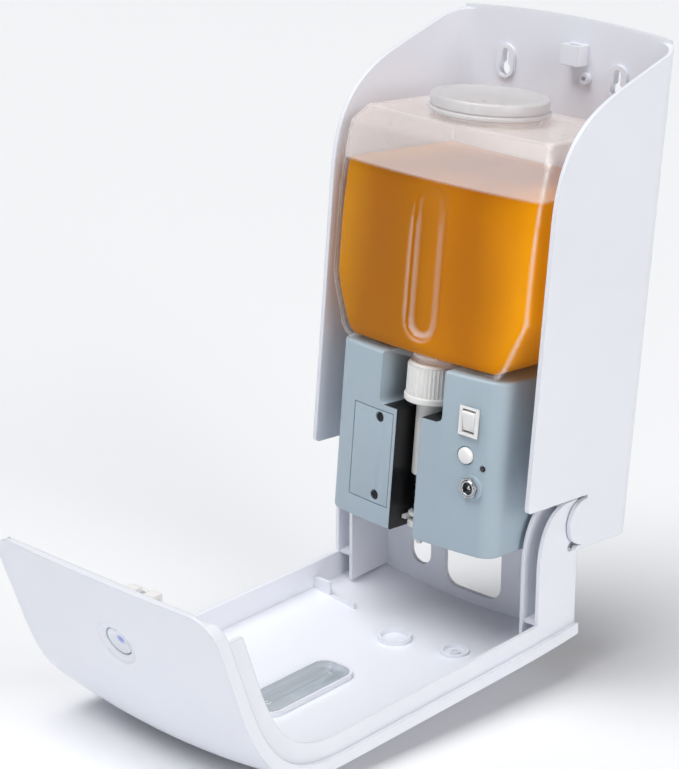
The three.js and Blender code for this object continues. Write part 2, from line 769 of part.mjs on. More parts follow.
// ---- bottle, caps and pump ----
function bottleForm(inset) {
  const half = bottleHalf - inset;
  const low = bottleFloorZ + inset;
  const high = bottleTopZ - inset;
  const front = [
    [half, -3],
    [half, high - 8],
    [half - 5, high],
    [-half + 5, high],
    [-half, high - 8],
    [-half, -3],
    [-51 + inset, low + 6],
    [-46 + inset, low],
    [46 - inset, low],
    [51 - inset, low + 6],
  ];
  const side = [
    [-8 - inset, low],
    [-92 + inset, low],
    [-93.5 + inset, low + 3],
    [-93 + inset, 20],
    [-90.5 + inset, 55],
    [-87.5 + inset, high - 8],
    [-80 + inset, high],
    [-12 - inset, high],
    [-8 - inset, high - 4],
  ];
  const body = bow(slabX(side.reverse(), -half, half, 12), bottleBow, bottleHalf);
  return body.intersect(slabY(front.reverse(), -110, 10));
}

function grip(inset) {
  const reach = -90 + inset;
  return slabY(stadium(0, 14, 8 + inset, 36 + inset, 7.9 + inset), -115, reach - 5);
}

function bottle() {
  const neckZ = bottleFloorZ - 18;
  const outer = join([
    bottleForm(0),
    barZ(0, pumpY, 9, neckZ, bottleFloorZ + 2),
    barZ(0, capAt.y, 25, bottleTopZ - 2, capAt.z + 4, 36),
  ]);
  const inner = join([
    bottleForm(bottleWall).subtract(grip(bottleWall)),
    barZ(0, pumpY, 7, neckZ - 1, bottleFloorZ + 3),
    barZ(0, capAt.y, 22.5, bottleTopZ - 4, capAt.z + 6, 36),
  ]);
  return cut(outer, [grip(0), inner]);
}

function soapFill() {
  const gap = bottleWall + 0.3;
  const body = bottleForm(gap).intersect(block(-80, 80, -120, 0, -60, fillZ));
  return body.subtract(grip(gap));
}

function refillCap() {
  const c = capAt;
  const disc = barZ(0, c.y, c.radius - 1, c.z + 4.4, c.z + 7, 36);
  const skirt = barZ(0, c.y, c.radius, c.z - 1, c.z + 4.6, 36);
  return disc.add(skirt).subtract(barZ(0, c.y, 25.4, c.z - 2, c.z + 4.4, 36));
}

function refillSeal() {
  const ring = barZ(0, capAt.y, 22.1, capAt.z + 1.5, capAt.z + 4.2, 32);
  return ring.subtract(barZ(0, capAt.y, 19, capAt.z, capAt.z + 6, 32));
}

function outletCap() {
  const ring = join([
    barZ(0, pumpY, 12.2, -54.4, -35.2, 32),
    barZ(0, pumpY, 12.9, -54.4, -51, 32),
  ]);
  const bore = barZ(0, pumpY, 9.3, -51.6, -30, 32);
  return cut(ring, [bore, barZ(0, pumpY, 5.4, -60, -50)]);
}

// The pump's cylinder hangs from a flange held inside the outlet cap.
function pumpBody() {
  const outer = join([
    barZ(0, pumpY, 5.1, -92, -46),
    barZ(0, pumpY, 6.4, -92, -55),
    barZ(0, pumpY, 6.7, -50.2, -46),
  ]);
  return outer.subtract(barZ(0, pumpY, 4.1, -93, -45));
}

function pumpPiston() {
  const parts = [
    barZ(0, pumpY, 3.9, -82, -78),
    barZ(0, pumpY, 2.6, -112, -79),
    barZ(0, pumpY, 6.5, -113.2, -111.6),
    barZ(0, pumpY, 4, -117, -112),
    barZ(0, pumpY, 6.5, -118.9, -115.8),
  ];
  return join(parts).subtract(barZ(0, pumpY, 1.1, -120, -77, 16));
}

function dripTip() {
  const points = [
    new THREE.Vector2(0, -119.2),
    new THREE.Vector2(2.9, -119.2),
    new THREE.Vector2(2.7, -122),
    new THREE.Vector2(1.8, -127),
    new THREE.Vector2(0, -128.2),
  ];
  const geometry = new THREE.LatheGeometry(points.reverse(), 20);
  geometry.rotateX(Math.PI / 2);
  geometry.translate(0, pumpY, 0);
  return toSolid(geometry);
}

class Helix extends THREE.Curve {
  getPoint(t, target = new THREE.Vector3()) {
    const a = t * Math.PI * 2 * 5;
    return target.set(4.7 * Math.cos(a), pumpY + 4.7 * Math.sin(a), -93.2 - 17.4 * t);
  }
}

function pumpSpring() {
  const wire = new THREE.Shape();
  wire.absarc(0, 0, 0.45, 0, Math.PI * 2, false);
  const options = { steps: 60, curveSegments: 3, extrudePath: new Helix(), bevelEnabled: false };
  return toSolid(new THREE.ExtrudeGeometry(wire, options));
}

function buildBottle() {
  piece("bottle", bottle(), paint.clearPlastic);
  piece("soap_fill", soapFill(), paint.amber);
  piece("refill_cap", refillCap(), paint.softWhite);
  piece("refill_seal", refillSeal(), paint.seal);
  piece("outlet_cap", outletCap(), paint.softWhite);
  piece("pump_body", pumpBody(), paint.softWhite);
  piece("pump_piston", pumpPiston(), paint.softWhite);
  piece("pump_spring", pumpSpring(), paint.steel);
  piece("drip_tip", dripTip(), paint.seal);
}

piece("back_housing", backHousing(), paint.coolWhite);
buildCover();
buildDriveUnit();
buildBottle();

export default model;
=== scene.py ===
import math
import bmesh
import bpy
from mathutils import Matrix, Vector


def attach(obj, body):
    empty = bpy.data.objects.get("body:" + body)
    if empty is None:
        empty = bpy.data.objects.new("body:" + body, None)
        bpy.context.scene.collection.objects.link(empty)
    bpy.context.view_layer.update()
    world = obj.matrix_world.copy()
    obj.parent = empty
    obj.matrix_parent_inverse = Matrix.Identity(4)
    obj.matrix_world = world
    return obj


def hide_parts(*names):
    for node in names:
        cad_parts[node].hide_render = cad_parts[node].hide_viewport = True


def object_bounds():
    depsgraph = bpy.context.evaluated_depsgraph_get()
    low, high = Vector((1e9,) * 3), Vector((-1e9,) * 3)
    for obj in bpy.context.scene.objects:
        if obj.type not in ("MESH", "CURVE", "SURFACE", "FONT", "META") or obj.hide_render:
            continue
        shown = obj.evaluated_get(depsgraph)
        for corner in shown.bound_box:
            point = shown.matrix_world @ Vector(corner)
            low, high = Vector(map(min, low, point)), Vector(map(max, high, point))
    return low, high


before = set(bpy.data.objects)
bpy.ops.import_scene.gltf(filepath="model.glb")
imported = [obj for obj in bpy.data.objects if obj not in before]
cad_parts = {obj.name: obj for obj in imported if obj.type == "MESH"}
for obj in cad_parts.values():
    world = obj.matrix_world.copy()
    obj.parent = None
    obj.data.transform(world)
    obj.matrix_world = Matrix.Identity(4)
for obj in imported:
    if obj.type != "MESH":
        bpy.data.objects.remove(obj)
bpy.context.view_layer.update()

mm = 0.001  # every length below is in millimetres and turned to metres once
print("stage: frame loaded")

# ---- shape helpers ----

def meshObject(name, verts, faces):
    mesh = bpy.data.meshes.new(name)
    mesh.from_pydata([tuple(c * mm for c in v) for v in verts], [], faces)
    bm = bmesh.new()
    bm.from_mesh(mesh)
    bmesh.ops.remove_doubles(bm, verts=bm.verts, dist=1e-6)
    bmesh.ops.recalc_face_normals(bm, faces=bm.faces)
    bm.to_mesh(mesh)
    bm.free()
    obj = bpy.data.objects.new(name, mesh)
    bpy.context.scene.collection.objects.link(obj)
    return obj


def prism(name, outline, axis, low, high, steps=1):
    # pushes a closed outline along one axis: x takes (y, z) points, y takes (x, z), z takes (x, y)
    place = {
        "x": lambda a, p: (a, p[0], p[1]),
        "y": lambda a, p: (p[0], a, p[1]),
        "z": lambda a, p: (p[0], p[1], a),
    }[axis]
    count = len(outline)
    verts = [place(low + (high - low) * s / steps, p) for s in range(steps + 1) for p in outline]
    faces = [list(range(count))[::-1], [steps * count + i for i in range(count)]]
    for s in range(steps):
        for i in range(count):
            j = (i + 1) % count
            faces.append([s * count + i, s * count + j, (s + 1) * count + j, (s + 1) * count + i])
    return meshObject(name, verts, faces)


def turned(name, profile, centre, axis="z", sides=72):
    # spins (radius, height) points round an axis; heights are absolute along it
    place = {
        "z": lambda r, h, a: (centre[0] + r * math.cos(a), centre[1] + r * math.sin(a), h),
        "y": lambda r, h, a: (centre[0] + r * math.cos(a), h, centre[1] + r * math.sin(a)),
        "x": lambda r, h, a: (h, centre[0] + r * math.cos(a), centre[1] + r * math.sin(a)),
    }[axis]
    rings = len(profile)
    closed = profile[0][0] > 1e-6
    verts = [place(r, h, 2 * math.pi * k / sides) for k in range(sides) for r, h in profile]
    faces = []
    for k in range(sides):
        n = (k + 1) % sides
        for i in range(rings if closed else rings - 1):
            j = (i + 1) % rings
            faces.append([k * rings + i, k * rings + j, n * rings + j, n * rings + i])
    return meshObject(name, verts, faces)


def box(name, low, high):
    outline = [(low[0], low[1]), (high[0], low[1]), (high[0], high[1]), (low[0], high[1])]
    return prism(name, outline, "z", low[2], high[2])


def arc(cx, cy, radius, start, end, parts):
    angles = [math.radians(start + (end - start) * i / parts) for i in range(parts + 1)]
    return [(cx + radius * math.cos(a), cy + radius * math.sin(a)) for a in angles]


def bezier(p0, p1, p2, p3, parts):
    out = []
    for i in range(parts + 1):
        t = i / parts
        w = [(1 - t) ** 3, 3 * t * (1 - t) ** 2, 3 * t * t * (1 - t), t ** 3]
        out.append(tuple(w[0] * a + w[1] * b + w[2] * c + w[3] * d for a, b, c, d in zip(p0, p1, p2, p3)))
    return out


def roundedBox(cx, cy, halfWidth, halfHeight, radius, parts=8):
    out = []
    for sx, sy, start in ((1, 1, 0), (-1, 1, 90), (-1, -1, 180), (1, -1, 270)):
        x = cx + sx * (halfWidth - radius)
        y = cy + sy * (halfHeight - radius)
        out += arc(x, y, radius, start, start + 90, parts)
    return out


def applyAll(obj):
    graph = bpy.context.evaluated_depsgraph_get()
    mesh = bpy.data.meshes.new_from_object(obj.evaluated_get(graph))
    obj.modifiers.clear()
    obj.data = mesh
    return obj


def combine(base, tools, how):
    for tool in tools:
        step = base.modifiers.new(how.lower(), "BOOLEAN")
        step.operation = how
        step.solver = "EXACT"
        step.object = tool
    applyAll(base)
    for tool in tools:
        bpy.data.objects.remove(tool)
    return base


def merged(name, parts):
    # several closed solids in one mesh, left as they are where they overlap
    bm = bmesh.new()
    for part in parts:
        part.data.transform(part.matrix_world)
        bm.from_mesh(part.data)
    mesh = bpy.data.meshes.new(name)
    bm.to_mesh(mesh)
    bm.free()
    for part in parts:
        bpy.data.objects.remove(part)
    obj = bpy.data.objects.new(name, mesh)
    bpy.context.scene.collection.objects.link(obj)
    return obj


def smoothShade(obj, angle=32):
    obj.data.shade_smooth()
    obj.data.set_sharp_from_angle(angle=math.radians(angle))
    return obj


def softenEdges(obj, width, segments=2, angle=40):
    step = obj.modifiers.new("soften", "BEVEL")
    step.width = width * mm
    step.segments = segments
    step.limit_method = "ANGLE"
    step.angle_limit = math.radians(angle)
    step.use_clamp_overlap = True
    step.harden_normals = False
    return applyAll(obj)


def bowFront(obj, amount, half):
    # pushes the solid forward most at the middle and not at all at the sides
    for v in obj.data.vertices:
        t = min(1, abs(v.co.x) / (half * mm))
        v.co.y -= amount * mm * (1 - t * t)
    return obj


def finishPiece(obj, body, material, nodes=(), angle=32):
    if material is not None:
        obj.data.materials.clear()
        obj.data.materials.append(material)
    smoothShade(obj, angle)
    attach(obj, body)
    if nodes:
        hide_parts(*nodes)
    return obj


# ---- material helpers ----

def toLinear(code):
    values = [int(code[i:i + 2], 16) / 255 for i in (0, 2, 4)]
    return [v / 12.92 if v <= 0.04045 else ((v + 0.055) / 1.055) ** 2.4 for v in values] + [1.0]


def addNode(material, kind, settings=None, links=None):
    tree = material.node_tree
    node = tree.nodes.new(kind)
    for key, value in (settings or {}).items():
        if isinstance(key, int) or key in node.inputs:
            node.inputs[key].default_value = value
        else:
            setattr(node, key, value)
    for key, source in (links or {}).items():
        tree.links.new(source, node.inputs[key])
    return node


def startMaterial(name, settings):
    material = bpy.data.materials.new(name)
    material.use_nodes = True
    material.node_tree.nodes.clear()
    surface = addNode(material, "ShaderNodeBsdfPrincipled", settings)
    addNode(material, "ShaderNodeOutputMaterial", None, {"Surface": surface.outputs["BSDF"]})
    return material, surface


def perMetre(sizeMm):
    return 1000 / sizeMm


def tintedCloud(material, values, place, detail=3.0, breakUp=0.5):
    # two close shades of one colour, drifting into each other
    cloud = addNode(material, "ShaderNodeTexNoise",
                    {"Scale": perMetre(values["cloudSize"]), "Detail": detail, "Roughness": breakUp},
                    {"Vector": place.outputs["Object"]})
    tint = addNode(material, "ShaderNodeMix",
                   {"data_type": "RGBA", 6: toLinear(values["colour"]), 7: toLinear(values["shade"])},
                   {0: cloud.outputs["Fac"]})
    return cloud, tint


def moulded(name, values):
    # a moulded finish: faint cloud of colour from the flow, fine spark-eroded grain, edges that catch light
    material, surface = startMaterial(name, {
        "Metallic": values.get("metallic", 0.0),
        "Alpha": values.get("cover", 1.0),
        "Subsurface Weight": values.get("scatter", 0.0),
        "Subsurface Radius": (1.0, 1.0, 1.0),
        "Subsurface Scale": values.get("scatterScale", 2.0) * mm,
    })
    if "ior" in values:
        surface.inputs["IOR"].default_value = values["ior"]
    place = addNode(material, "ShaderNodeTexCoord")
    cloud, tint = tintedCloud(material, values, place, breakUp=0.55)
    grain = addNode(material, "ShaderNodeTexNoise",
                    {"Scale": perMetre(values["grainSize"]), "Detail": 2.0, "Roughness": 0.6},
                    {"Vector": place.outputs["Object"]})
    low = values["roughness"] - values["roughnessSpread"]
    high = values["roughness"] + values["roughnessSpread"]
    gloss = addNode(material, "ShaderNodeMapRange",
                    {"From Min": 0.3, "From Max": 0.7, "To Min": low, "To Max": high},
                    {"Value": cloud.outputs["Fac"]})
    rim = addNode(material, "ShaderNodeBevel", {"samples": 4, "Radius": values["edge"] * mm})
    relief = addNode(material, "ShaderNodeBump",
                     {"Strength": values["grainStrength"], "Distance": values["grainDepth"] * mm},
                     {"Height": grain.outputs["Fac"], "Normal": rim.outputs["Normal"]})
    tree = material.node_tree
    tree.links.new(tint.outputs[2], surface.inputs["Base Color"])
    tree.links.new(gloss.outputs["Result"], surface.inputs["Roughness"])
    tree.links.new(relief.outputs["Normal"], surface.inputs["Normal"])
    return material


# ABS, injection moulded in a lightly sparked tool: a cool white with a satin, slightly blurred shine
mouldedAbsWhite = moulded("moulded ABS cool white", {
    "colour": "EDEFF6", "shade": "E6E9F2", "cloudSize": 60,
    "grainSize": 0.9, "grainDepth": 0.02, "grainStrength": 0.12,
    "roughness": 0.36, "roughnessSpread": 0.03, "edge": 0.7, "ior": 1.53, "scatter": 0.12, "scatterScale": 3.0,
})
# ABS, moulded and sparked matt: the drive unit's blue-grey case, which reads flat with faint sheen
mouldedAbsBlueGrey = moulded("moulded ABS blue grey", {
    "colour": "ABBCC6", "shade": "A2B3BE", "cloudSize": 40,
    "grainSize": 0.7, "grainDepth": 0.03, "grainStrength": 0.25,
    "roughness": 0.43, "roughnessSpread": 0.04, "edge": 0.6, "ior": 1.53,
})
# Polypropylene, moulded without pigment: waxy off white that lets a little light in at its edges
mouldedPolypropyleneNatural = moulded("moulded polypropylene natural", {
    "colour": "F1F1EE", "shade": "E8E8E5", "cloudSize": 25,
    "grainSize": 0.6, "grainDepth": 0.015, "grainStrength": 0.12,
    "roughness": 0.34, "roughnessSpread": 0.04, "edge": 0.4, "ior": 1.49, "scatter": 0.35, "scatterScale": 3.0,
})
# Polypropylene, moulded thin and unpigmented: the lid's frosted look, with the neck showing faintly under it
mouldedPolypropyleneCloudy = moulded("moulded polypropylene cloudy", {
    "colour": "E6E4E5", "shade": "DBD9DA", "cloudSize": 22,
    "grainSize": 0.6, "grainDepth": 0.015, "grainStrength": 0.12,
    "roughness": 0.3, "roughnessSpread": 0.04, "edge": 0.5, "ior": 1.49,
    "scatter": 0.4, "scatterScale": 3.0, "cover": 0.72,
})
# Polyoxymethylene, moulded: the denser white of switch and carrier parts
mouldedAcetalWhite = moulded("moulded acetal white", {
    "colour": "F2F2F0", "shade": "EAEAE8", "cloudSize": 20,
    "grainSize": 0.5, "grainDepth": 0.01, "grainStrength": 0.1,
    "roughness": 0.3, "roughnessSpread": 0.03, "edge": 0.35, "ior": 1.48, "scatter": 0.15, "scatterScale": 1.5,
})
# ABS, moulded in black and left deep inside the case, where it only shows as a dark slot; also laid as painted
# shade on the drive case's channel walls
blackAbsAndChannelShade = moulded("moulded ABS black", {
    "colour": "101113", "shade": "17181B", "cloudSize": 20,
    "grainSize": 0.6, "grainDepth": 0.02, "grainStrength": 0.2,
    "roughness": 0.32, "roughnessSpread": 0.05, "edge": 0.4, "ior": 1.53,
})
# Silicone rubber, pressed in a heated mould: soft, dull and slightly see-through at thin edges
pressedSiliconeGrey = moulded("pressed silicone grey", {
    "colour": "D9D9D5", "shade": "CBCBC7", "cloudSize": 12,
    "grainSize": 0.5, "grainDepth": 0.01, "grainStrength": 0.1,
    "roughness": 0.48, "roughnessSpread": 0.04, "edge": 0.5, "ior": 1.41, "scatter": 0.4, "scatterScale": 2.5,
})
# Steel, turned and nickel plated: bright, with fine rings left by the tool
nickelPlatedSteel = moulded("turned nickel plated steel", {
    "colour": "C9CACC", "shade": "B4B6B9", "cloudSize": 3,
    "grainSize": 0.35, "grainDepth": 0.01, "grainStrength": 0.2,
    "roughness": 0.24, "roughnessSpread": 0.06, "edge": 0.25, "metallic": 1.0,
})
# Steel, cold headed and blackened: the small door screws
blackenedSteel = moulded("headed blackened steel", {
    "colour": "2C2D30", "shade": "44464A", "cloudSize": 1.2,
    "grainSize": 0.3, "grainDepth": 0.01, "grainStrength": 0.2,
    "roughness": 0.34, "roughnessSpread": 0.06, "edge": 0.15, "metallic": 1.0,
})
# Brass, rolled thin and pressed: the warm contact plates in the cell bay
rolledBrass = moulded("rolled brass", {
    "colour": "C9A24A", "shade": "B18C3C", "cloudSize": 4,
    "grainSize": 0.4, "grainDepth": 0.01, "grainStrength": 0.15,
    "roughness": 0.3, "roughnessSpread": 0.06, "edge": 0.2, "metallic": 1.0,
})
# Glass-fibre board with a printed green mask: half gloss, cloudy from the weave under it
printedBoardGreen = moulded("glass fibre board green mask", {
    "colour": "1F5A3A", "shade": "2A6B47", "cloudSize": 2.4,
    "grainSize": 1.0, "grainDepth": 0.02, "grainStrength": 0.2,
    "roughness": 0.36, "roughnessSpread": 0.05, "edge": 0.2, "ior": 1.53,
})
# Shrunk printed sleeve over a steel can: plain slate colour with no lettering
shrunkSleeveSlate = moulded("shrunk PVC sleeve slate", {
    "colour": "3C4A58", "shade": "465667", "cloudSize": 15,
    "grainSize": 0.8, "grainDepth": 0.01, "grainStrength": 0.1,
    "roughness": 0.3, "roughnessSpread": 0.04, "edge": 0.4, "ior": 1.53, "metallic": 0.2,
})
# Polycarbonate, moulded and polished: the smoked sensor windows, nearly black with a hard shine
smokedPolycarbonate = moulded("polished smoked polycarbonate", {
    "colour": "17141A", "shade": "201C24", "cloudSize": 8,
    "grainSize": 1.5, "grainDepth": 0.005, "grainStrength": 0.05,
    "roughness": 0.1, "roughnessSpread": 0.03, "edge": 0.3, "ior": 1.585,
})


# Polyethylene, blown: milky skin, clear where soap wets it, cloudier edge-on, with painted highlight lines
# along its corners and a faint painted glow
def blownPolyethylene():
    values = {
        "colour": "F4F0EE", "shade": "EAE5E4", "cloudSize": 35, "rippleSize": 9, "rippleDepth": 0.12,
        "wetClear": 0.0, "wetMilky": 0.03, "dryClear": 0.24, "dryMilky": 0.5,  # straight on and edge-on
        "soapTop": bottle["fill"], "soapTopBlur": 0.8,
        "bendFrom": 0.012, "bendTo": 0.05, "bendHighlight": 0.42, "paintedGlow": 0.12, "paintedGlowColour": "F4EEEC",
    }
    # painted light: a faint emission makes the skin glow without any lamp
    material, surface = startMaterial("blown polyethylene milky", {
        "IOR": 1.51, "Coat Weight": 0.2, "Coat Roughness": 0.12,
        "Emission Color": toLinear(values["paintedGlowColour"]), "Emission Strength": values["paintedGlow"]})
    place = addNode(material, "ShaderNodeTexCoord")
    cloud, tint = tintedCloud(material, values, place)
    ripple = addNode(material, "ShaderNodeTexNoise", {"Scale": perMetre(values["rippleSize"]), "Detail": 1.0},
                     {"Vector": place.outputs["Object"]})
    relief = addNode(material, "ShaderNodeBump", {"Strength": 0.35, "Distance": values["rippleDepth"] * mm},
                     {"Height": ripple.outputs["Fac"]})
    facing = addNode(material, "ShaderNodeLayerWeight", {"Blend": 0.25})
    # soap against the inside wets it clear, and the dry skin above stays cloudy
    parts = addNode(material, "ShaderNodeSeparateXYZ", None, {"Vector": place.outputs["Object"]})
    low = (values["soapTop"] - values["soapTopBlur"]) * mm
    high = (values["soapTop"] + values["soapTopBlur"]) * mm
    clear = addNode(material, "ShaderNodeMapRange", {
        "From Min": low, "From Max": high, "To Min": values["wetClear"], "To Max": values["dryClear"],
    }, {"Value": parts.outputs["Z"]})
    edgeOn = addNode(material, "ShaderNodeMapRange", {
        "From Min": low, "From Max": high, "To Min": values["wetMilky"], "To Max": values["dryMilky"],
    }, {"Value": parts.outputs["Z"]})
    skin = addNode(material, "ShaderNodeMapRange", None, {
        "Value": facing.outputs["Facing"],
        "To Min": clear.outputs["Result"], "To Max": edgeOn.outputs["Result"]})
    # painted highlight: bends in the skin, at its corners and the groove's rim, are made more opaque so they
    # show as pale lines
    plain = addNode(material, "ShaderNodeNewGeometry")
    bend = addNode(material, "ShaderNodeMath", {"operation": "SUBTRACT", 1: 0.5},
                   {0: plain.outputs["Pointiness"]})
    apart = addNode(material, "ShaderNodeMath", {"operation": "ABSOLUTE"}, {0: bend.outputs["Value"]})
    line = addNode(material, "ShaderNodeMapRange", {
        "From Min": values["bendFrom"], "From Max": values["bendTo"], "To Max": values["bendHighlight"],
    }, {"Value": apart.outputs["Value"]})
    cover = addNode(material, "ShaderNodeMath", {"operation": "ADD", "use_clamp": True},
                    {0: skin.outputs["Result"], 1: line.outputs["Result"]})
    gloss = addNode(material, "ShaderNodeMapRange",
                    {"From Min": 0.3, "From Max": 0.7, "To Min": 0.2, "To Max": 0.28},
                    {"Value": cloud.outputs["Fac"]})
    tree = material.node_tree
    tree.links.new(tint.outputs[2], surface.inputs["Base Color"])
    tree.links.new(gloss.outputs["Result"], surface.inputs["Roughness"])
    tree.links.new(relief.outputs["Normal"], surface.inputs["Normal"])
    tree.links.new(cover.outputs["Value"], surface.inputs["Alpha"])
    return material


# Liquid hand soap, poured: amber, with painted light in bands of honey brown and bright orange across the
# load, bright at its left edge and right side
def liquidSoap():
    values = {
        "low": -34.0, "high": bottle["fill"], "half": bottle["half"],
        "cloudSize": 45, "drift": 0.16, "topShade": "DCC6A8",
        # painted light: colour across the load, brighter at its edges and right side where light comes through
        "paintedLightAcross": (
            (0.0, "E09A10"), (0.1, "C88606"), (0.2, "A86406"), (0.42, "B47206"),
            (0.55, "DA8A00"), (0.72, "B46800"), (0.88, "D68A00"), (1.0, "F2A800")),
        "glowLow": 0.08, "glowHigh": 0.4, "glowFrom": 0.75,
    }
    material, surface = startMaterial("liquid soap amber", {
        "IOR": 1.36, "Transmission Weight": 0.15, "Roughness": 0.2, "Specular IOR Level": 0.05,
        "Emission Color": toLinear("D08000")})
    place = addNode(material, "ShaderNodeTexCoord")
    parts = addNode(material, "ShaderNodeSeparateXYZ", None, {"Vector": place.outputs["Object"]})
    cloud = addNode(material, "ShaderNodeTexNoise", {"Scale": perMetre(values["cloudSize"]), "Detail": 2.0},
                    {"Vector": place.outputs["Object"]})
    half = values["half"] * mm
    side = addNode(material, "ShaderNodeMapRange", {"From Min": -half, "From Max": half},
                   {"Value": parts.outputs["X"]})
    drift = addNode(material, "ShaderNodeMath",
                    {"operation": "MULTIPLY_ADD", 1: values["drift"], 2: -values["drift"] / 2},
                    {0: cloud.outputs["Fac"]})
    along = addNode(material, "ShaderNodeMath", {"operation": "ADD"},
                    {0: side.outputs["Result"], 1: drift.outputs["Value"]})
    # a little emission stands in for the light that real soap lets through, most at its right side
    paintedGlow = addNode(material, "ShaderNodeMapRange",
                   {"From Min": values["glowFrom"], "To Min": values["glowLow"], "To Max": values["glowHigh"]},
                   {"Value": along.outputs["Value"]})
    ramp = addNode(material, "ShaderNodeValToRGB", None, {"Fac": along.outputs["Value"]})
    ramp.color_ramp.interpolation = "B_SPLINE"
    while len(ramp.color_ramp.elements) < len(values["paintedLightAcross"]):
        ramp.color_ramp.elements.new(0.5)
    for element, (spot, code) in zip(ramp.color_ramp.elements, values["paintedLightAcross"]):
        element.position = spot
        element.color = toLinear(code)
    height = addNode(material, "ShaderNodeMapRange",
                     {"From Min": values["low"] * mm, "From Max": values["high"] * mm, "To Max": 0.3},
                     {"Value": parts.outputs["Z"]})
    tint = addNode(material, "ShaderNodeMix",
                   {"data_type": "RGBA", "blend_type": "MULTIPLY", 7: toLinear(values["topShade"])},
                   {0: height.outputs["Result"], 6: ramp.outputs["Color"]})
    material.node_tree.links.new(tint.outputs[2], surface.inputs["Base Color"])
    material.node_tree.links.new(paintedGlow.outputs["Result"], surface.inputs["Emission Strength"])
    return material


# Styrene acrylonitrile, moulded and polished: the clear level window, glassy with a cold edge
def polishedSan():
    values = {"colour": "E8F0F6", "shade": "DCE6EE", "cloudSize": 20, "clear": 0.35, "edge": 0.85}
    material, surface = startMaterial("polished SAN clear", {
        "IOR": 1.57, "Roughness": 0.08, "Coat Weight": 1.0, "Coat Roughness": 0.03, "Metallic": 0.35})
    place = addNode(material, "ShaderNodeTexCoord")
    cloud, tint = tintedCloud(material, values, place, 2.0)
    facing = addNode(material, "ShaderNodeLayerWeight", {"Blend": 0.4})
    cover = addNode(material, "ShaderNodeMapRange", {"To Min": values["clear"], "To Max": values["edge"]},
                    {"Value": facing.outputs["Facing"]})
    tree = material.node_tree
    tree.links.new(tint.outputs[2], surface.inputs["Base Color"])
    tree.links.new(cover.outputs["Result"], surface.inputs["Alpha"])
    return material


# Acrylic, moulded with pearl pigment: silvery disc, with painted blue violet shade towards its dished middle
def pearlAcrylic(centre):
    values = {"rim": "E3E8EF", "paintedShade": "7F88D6", "heartCore": 0.8, "heartSize": 3.2, "flakeSize": 0.5}
    material, surface = startMaterial("pearl pigmented acrylic", {
        "IOR": 1.49, "Metallic": 0.2, "Coat Weight": 0.6, "Coat Roughness": 0.05})
    place = addNode(material, "ShaderNodeTexCoord")
    away = addNode(material, "ShaderNodeVectorMath", {"operation": "DISTANCE", 1: tuple(centre)},
                   {0: place.outputs["Object"]})
    ring = addNode(material, "ShaderNodeMapRange", {
        "interpolation_type": "SMOOTHSTEP",
        "From Min": values["heartCore"] * mm, "From Max": values["heartSize"] * mm,
    }, {"Value": away.outputs["Value"]})
    flake = addNode(material, "ShaderNodeTexNoise", {"Scale": perMetre(values["flakeSize"])},
                    {"Vector": place.outputs["Object"]})
    gloss = addNode(material, "ShaderNodeMapRange", {"To Min": 0.12, "To Max": 0.3},
                    {"Value": flake.outputs["Fac"]})
    # painted shade: blue violet mixed in towards the dished middle of the button
    tint = addNode(material, "ShaderNodeMix",
                   {"data_type": "RGBA", 6: toLinear(values["paintedShade"]), 7: toLinear(values["rim"])},
                   {0: ring.outputs["Result"]})
    material.node_tree.links.new(tint.outputs[2], surface.inputs["Base Color"])
    material.node_tree.links.new(gloss.outputs["Result"], surface.inputs["Roughness"])
    return material


polishedSanClear = polishedSan()
print("stage: materials made")

# ---- wall housing ----
housing = {
    "width": 136, "depth": 90, "base": -120, "top": 121, "arch": 3.8,
    "sheet": 2.2, "backSheet": 2.6, "rearCorner": 14,
    "wallBottom": -92.5, "notchY": -43, "notchZ": -106, "notchRadius": 11.8,
    "keyholeX": 34, "keyholeZ": 97.5, "keyholeRound": 3.6, "keyholeSlot": 2,
    "hingeY": -49.1, "hingeZ": -118.7, "pin": 2.26, "ribStarts": (57.8, -61.4), "ribSheet": 3.6,
    "unitBack": -52, "postX": 40, "postHeights": (-52, -102), "latchX": 9.5, "bossX": 15.2, "bossZ": 96.6,
}


def housingSide():
    h = housing
    d = h["depth"]
    points = [(0, 130), (-h["backSheet"], 130), (-h["backSheet"], h["top"] - 0.8)]
    points += bezier((-42, 105.5), (-70, 95), (-d, 84), (-d, 44), 36)
    points += [(-d, h["wallBottom"] + 2), (-d + 0.6, h["wallBottom"] + 0.6), (-d + 2, h["wallBottom"])]
    points += [(h["notchY"], h["wallBottom"])]
    points += arc(h["notchY"], h["notchZ"], h["notchRadius"], 90, 270, 32)
    points += [(-48, h["notchZ"] - h["notchRadius"]), (-49.5, h["base"] + 1.1), (-48, h["base"])]
    points += [(-6, h["base"])] + arc(-6, h["base"] + 6, 6, 270, 360, 8)
    return points


def housingPlan(inset):
    h = housing
    half = h["width"] / 2 - inset
    back = -h["backSheet"] if inset else 0
    r = h["rearCorner"] - inset
    front = -h["depth"] - 5
    points = [(half, front)] + arc(half - r, back - r, r, 0, 90, 14)
    return points + arc(-half + r, back - r, r, 90, 180, 14) + [(-half, front)]


def housingFront():
    h = housing
    half = h["width"] / 2 + 1
    points = [(half, h["base"] - 1), (half, h["top"] - 9)] + arc(half - 6, h["top"] - 8, 6, 10, 70, 6)
    for i in range(-20, 21):
        x = -i / 20 * (half - 7)
        points.append((x, h["top"] + h["arch"] * (1 - (x / half) ** 2)))
    points += [(-p[0], p[1]) for p in reversed(arc(half - 6, h["top"] - 8, 6, 10, 70, 6))]
    return points + [(-half, h["top"] - 9), (-half, h["base"] - 1)]


def barY(x, z, radius, y0, y1, sides=48):
    return prism("bar", arc(x, z, radius, 0, 360 - 360 / sides, sides - 1), "y", y0, y1)


def barX(y, z, radius, x0, x1, sides=48):
    return prism("bar", arc(y, z, radius, 0, 360 - 360 / sides, sides - 1), "x", x0, x1)


def barZ(x, y, radius, z0, z1, sides=64):
    return prism("bar", arc(x, y, radius, 0, 360 - 360 / sides, sides - 1), "z", z0, z1)


